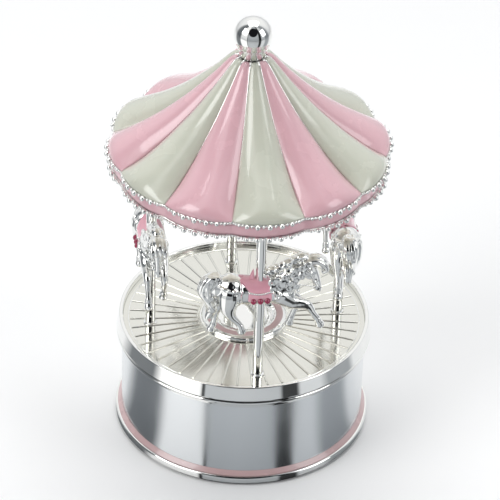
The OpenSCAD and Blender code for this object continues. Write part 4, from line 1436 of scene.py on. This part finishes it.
# Brightness of the tent: round the compass from the front (-180) by the left (-90), the back (0) and the
# right (90) to the front again, and from below to above. The floor paints the same bands into its colour for
# glossy rays, a painted reflection of the tent that the silver mirrors.
TENT_ROUND = [
    (-180, 0.53), (-150, 0.5), (-149, 0.03), (-147, 0.03), (-146, 1.0), (-110, 1.0),
    (-102, 0.16), (-76, 0.2), (-62, 0.9), (0, 1.0), (60, 0.95), (76, 0.8), (82, 0.35),
    (104, 0.32), (112, 0.66), (130, 0.66), (133, 0.02), (145, 0.02), (148, 0.48), (180, 0.53),
]
TENT_UP = [(-1, 0.7), (0, 0.75), (0.2, 0.85), (0.5, 0.97), (1, 1.0)]
OPENING_HALF = math.radians(25)  # half the width of the tent's dark opening, in front of the carousel
OPENING_EDGE = math.radians(1.5)
OPENING_COLOUR = (0.01, 0.01, 0.012, 1)
WHITE = (1, 1, 1, 1)
PALE = (0.93, 0.93, 0.93, 1)
HALF_TURN_DEGREES = 180  # a bearing runs from minus this to this


def compass_bands(tree, split):
    """Greys that follow the bearing of a separated vector."""
    flat = {0: split.outputs["X"], 1: split.outputs["Y"]}
    bearing = add_node(tree, "ShaderNodeMath", flat, operation="ARCTAN2")
    return grey_ramp(tree, bearing, math.pi, TENT_ROUND)


def studio_sky(opening):
    """A white tent with soft grey bands round it and a dark opening; a camera ray sees plain white."""
    world = bpy.data.worlds.new("Studio")
    bpy.context.scene.world = world
    world.use_nodes = True
    tree = world.node_tree
    place = add_node(tree, "ShaderNodeTexCoord", out="Generated")
    split = tree.nodes.new("ShaderNodeSeparateXYZ")
    tree.links.new(place, split.inputs["Vector"])
    upward = grey_ramp(tree, split.outputs["Z"], 1.0, TENT_UP)
    tent = mixed(tree, 1, compass_bands(tree, split), upward, "MULTIPLY")
    sight = {0: place, 1: opening}
    across = add_node(tree, "ShaderNodeVectorMath", sight, "Value", operation="DOT_PRODUCT")
    outer, inner = math.cos(OPENING_HALF + OPENING_EDGE), math.cos(OPENING_HALF)
    edge = {"From Min": outer, "From Max": inner, "Value": across}
    inside = add_node(tree, "ShaderNodeMapRange", edge, "Result")
    hole = mixed(tree, inside, tent, OPENING_COLOUR)
    ray = add_node(tree, "ShaderNodeLightPath", out="Is Camera Ray")
    tree.links.new(mixed(tree, ray, hole, WHITE), tree.nodes["Background"].inputs["Color"])


def grey_ramp(tree, value, limit, stops):
    """Maps a value of -limit to limit through greys; stops are (place, grey), in degrees if limit is pi."""
    full = HALF_TURN_DEGREES if limit == math.pi else 1
    share = {"Value": value, "From Min": -limit, "From Max": limit}
    spread = add_node(tree, "ShaderNodeMapRange", share, "Result")
    ramp = tree.nodes.new("ShaderNodeValToRGB")
    elements = ramp.color_ramp.elements
    while len(elements) > 1:
        elements.remove(elements[-1])
    for number, (place, grey) in enumerate(stops):
        position = (place / full + 1) / 2
        stop = elements[0] if number == 0 else elements.new(position)
        stop.position = position
        cool = 1 - 0.16 * (1 - grey)  # darker greys are a little bluer
        stop.color = (grey * cool, grey * (0.5 + cool / 2), grey, 1)
    tree.links.new(spread, ramp.inputs["Fac"])
    return ramp.outputs["Color"]


class CAROUSEL_OT_stage(bpy.types.Operator):
    """Lay the pale floor with a painted reflection of the tent for glossy rays, hang the soft lights in a
    white tent, and set the camera
    """

    bl_idname = "carousel.stage"
    bl_label = "Stage"

    def execute(self, context):
        scene = context.scene
        look = scene.carousel_stage
        self.floor()
        back = Vector((0, -math.cos(look.elevation), math.sin(look.elevation)))
        eye = Vector(look.target) + back * look.distance
        self.camera(scene, look, eye, back)
        soft_light("key", (-0.9, -0.5, 0.9), (0, 0, 0.1), 0.7, 0.7, 5)
        soft_light("fill", (0.95, -0.35, 0.7), (0, 0, 0.1), 0.5, 0.7, 2.5)
        soft_light("top", (0.0, 0.3, 1.3), (0, 0, 0.1), 1.0, 0.8, 6)
        lift = look.elevation + OPENING_HALF * 0.4
        studio_sky((0, -math.cos(lift), math.sin(lift)))
        scene.view_settings.view_transform = "Standard"
        return {"FINISHED"}

    def floor(self):
        """A pale floor to the camera; for glossy rays its colour is painted with the tent's bands, a painted
        reflection that the silver mirrors.

        The bands spread from the drum's focal line, so that its wall shows them upright."""
        size = 4.0
        corners = [(-size, -size, 0), (size, -size, 0), (size, size, 0), (-size, size, 0)]
        floor = card("floor", corners, PALE)
        floor.location.z = -0.02 * MM
        tree = floor.data.materials[0].node_tree
        split = tree.nodes.new("ShaderNodeSeparateXYZ")
        place = add_node(tree, "ShaderNodeTexCoord", out="Object")
        shift = {0: place, 1: (0, reach("drum_wall") / 2, 0)}
        tree.links.new(add_node(tree, "ShaderNodeVectorMath", shift), split.inputs["Vector"])
        # Painted reflection: glossy rays see the tent's bands as the floor's own colour, while the camera
        # sees it plain pale.
        ray = add_node(tree, "ShaderNodeLightPath", out="Is Glossy Ray")
        colour = mixed(tree, ray, PALE, compass_bands(tree, split))
        tree.links.new(colour, tree.nodes["Principled BSDF"].inputs["Base Color"])

    def camera(self, scene, look, eye, back):
        data = bpy.data.cameras.new("Camera")
        data.sensor_width = 36
        data.lens = look.lens
        data.clip_start = 0.01
        data.clip_end = 20
        camera = bpy.data.objects.new("Camera", data)
        facing = (-back).to_track_quat("-Z", "Y").to_matrix().to_4x4()
        camera.matrix_world = Matrix.Translation(eye) @ facing @ Matrix.Rotation(look.roll, 4, "Z")
        scene.collection.objects.link(camera)
        scene.camera = camera


# ---------------------------------------------------------------- panel and run


class CAROUSEL_PT_panel(bpy.types.Panel):
    """Lists the pieces of the carousel in the order they are made"""

    bl_idname = "CAROUSEL_PT_panel"
    bl_label = "Carousel"
    bl_space_type = "VIEW_3D"
    bl_region_type = "UI"
    bl_category = "Carousel"

    def draw(self, context):
        for operator in OPERATORS:
            self.layout.operator(operator.bl_idname)
        for group in SETTINGS:
            box = self.layout.box()
            values = getattr(context.scene, group)
            for name in values.__annotations__:
                box.prop(values, name)


OPERATORS = (
    CAROUSEL_OT_finishes,
    CAROUSEL_OT_drum,
    CAROUSEL_OT_platform,
    CAROUSEL_OT_poles,
    CAROUSEL_OT_horses,
    CAROUSEL_OT_saddles,
    CAROUSEL_OT_canopy,
    CAROUSEL_OT_rim_beads,
    CAROUSEL_OT_finial,
    CAROUSEL_OT_stage,
)
SETTINGS = {
    "carousel_drum": CarouselDrumSettings,
    "carousel_canopy": CarouselCanopySettings,
    "carousel_horse": CarouselHorseSettings,
    "carousel_finish": CarouselFinishSettings,
    "carousel_stage": CarouselStageSettings,
}


def register():
    for group in SETTINGS.values():
        bpy.utils.register_class(group)
    for name, group in SETTINGS.items():
        setattr(bpy.types.Scene, name, bpy.props.PointerProperty(type=group))
    for operator in OPERATORS:
        bpy.utils.register_class(operator)
    bpy.utils.register_class(CAROUSEL_PT_panel)


def unregister():
    bpy.utils.unregister_class(CAROUSEL_PT_panel)
    for operator in reversed(OPERATORS):
        bpy.utils.unregister_class(operator)
    for name, group in SETTINGS.items():
        delattr(bpy.types.Scene, name)
        bpy.utils.unregister_class(group)


def main():
    register()
    for operator in OPERATORS:
        module, name = operator.bl_idname.split(".")
        getattr(getattr(bpy.ops, module), name)()


if __name__ == "__main__":
    main()
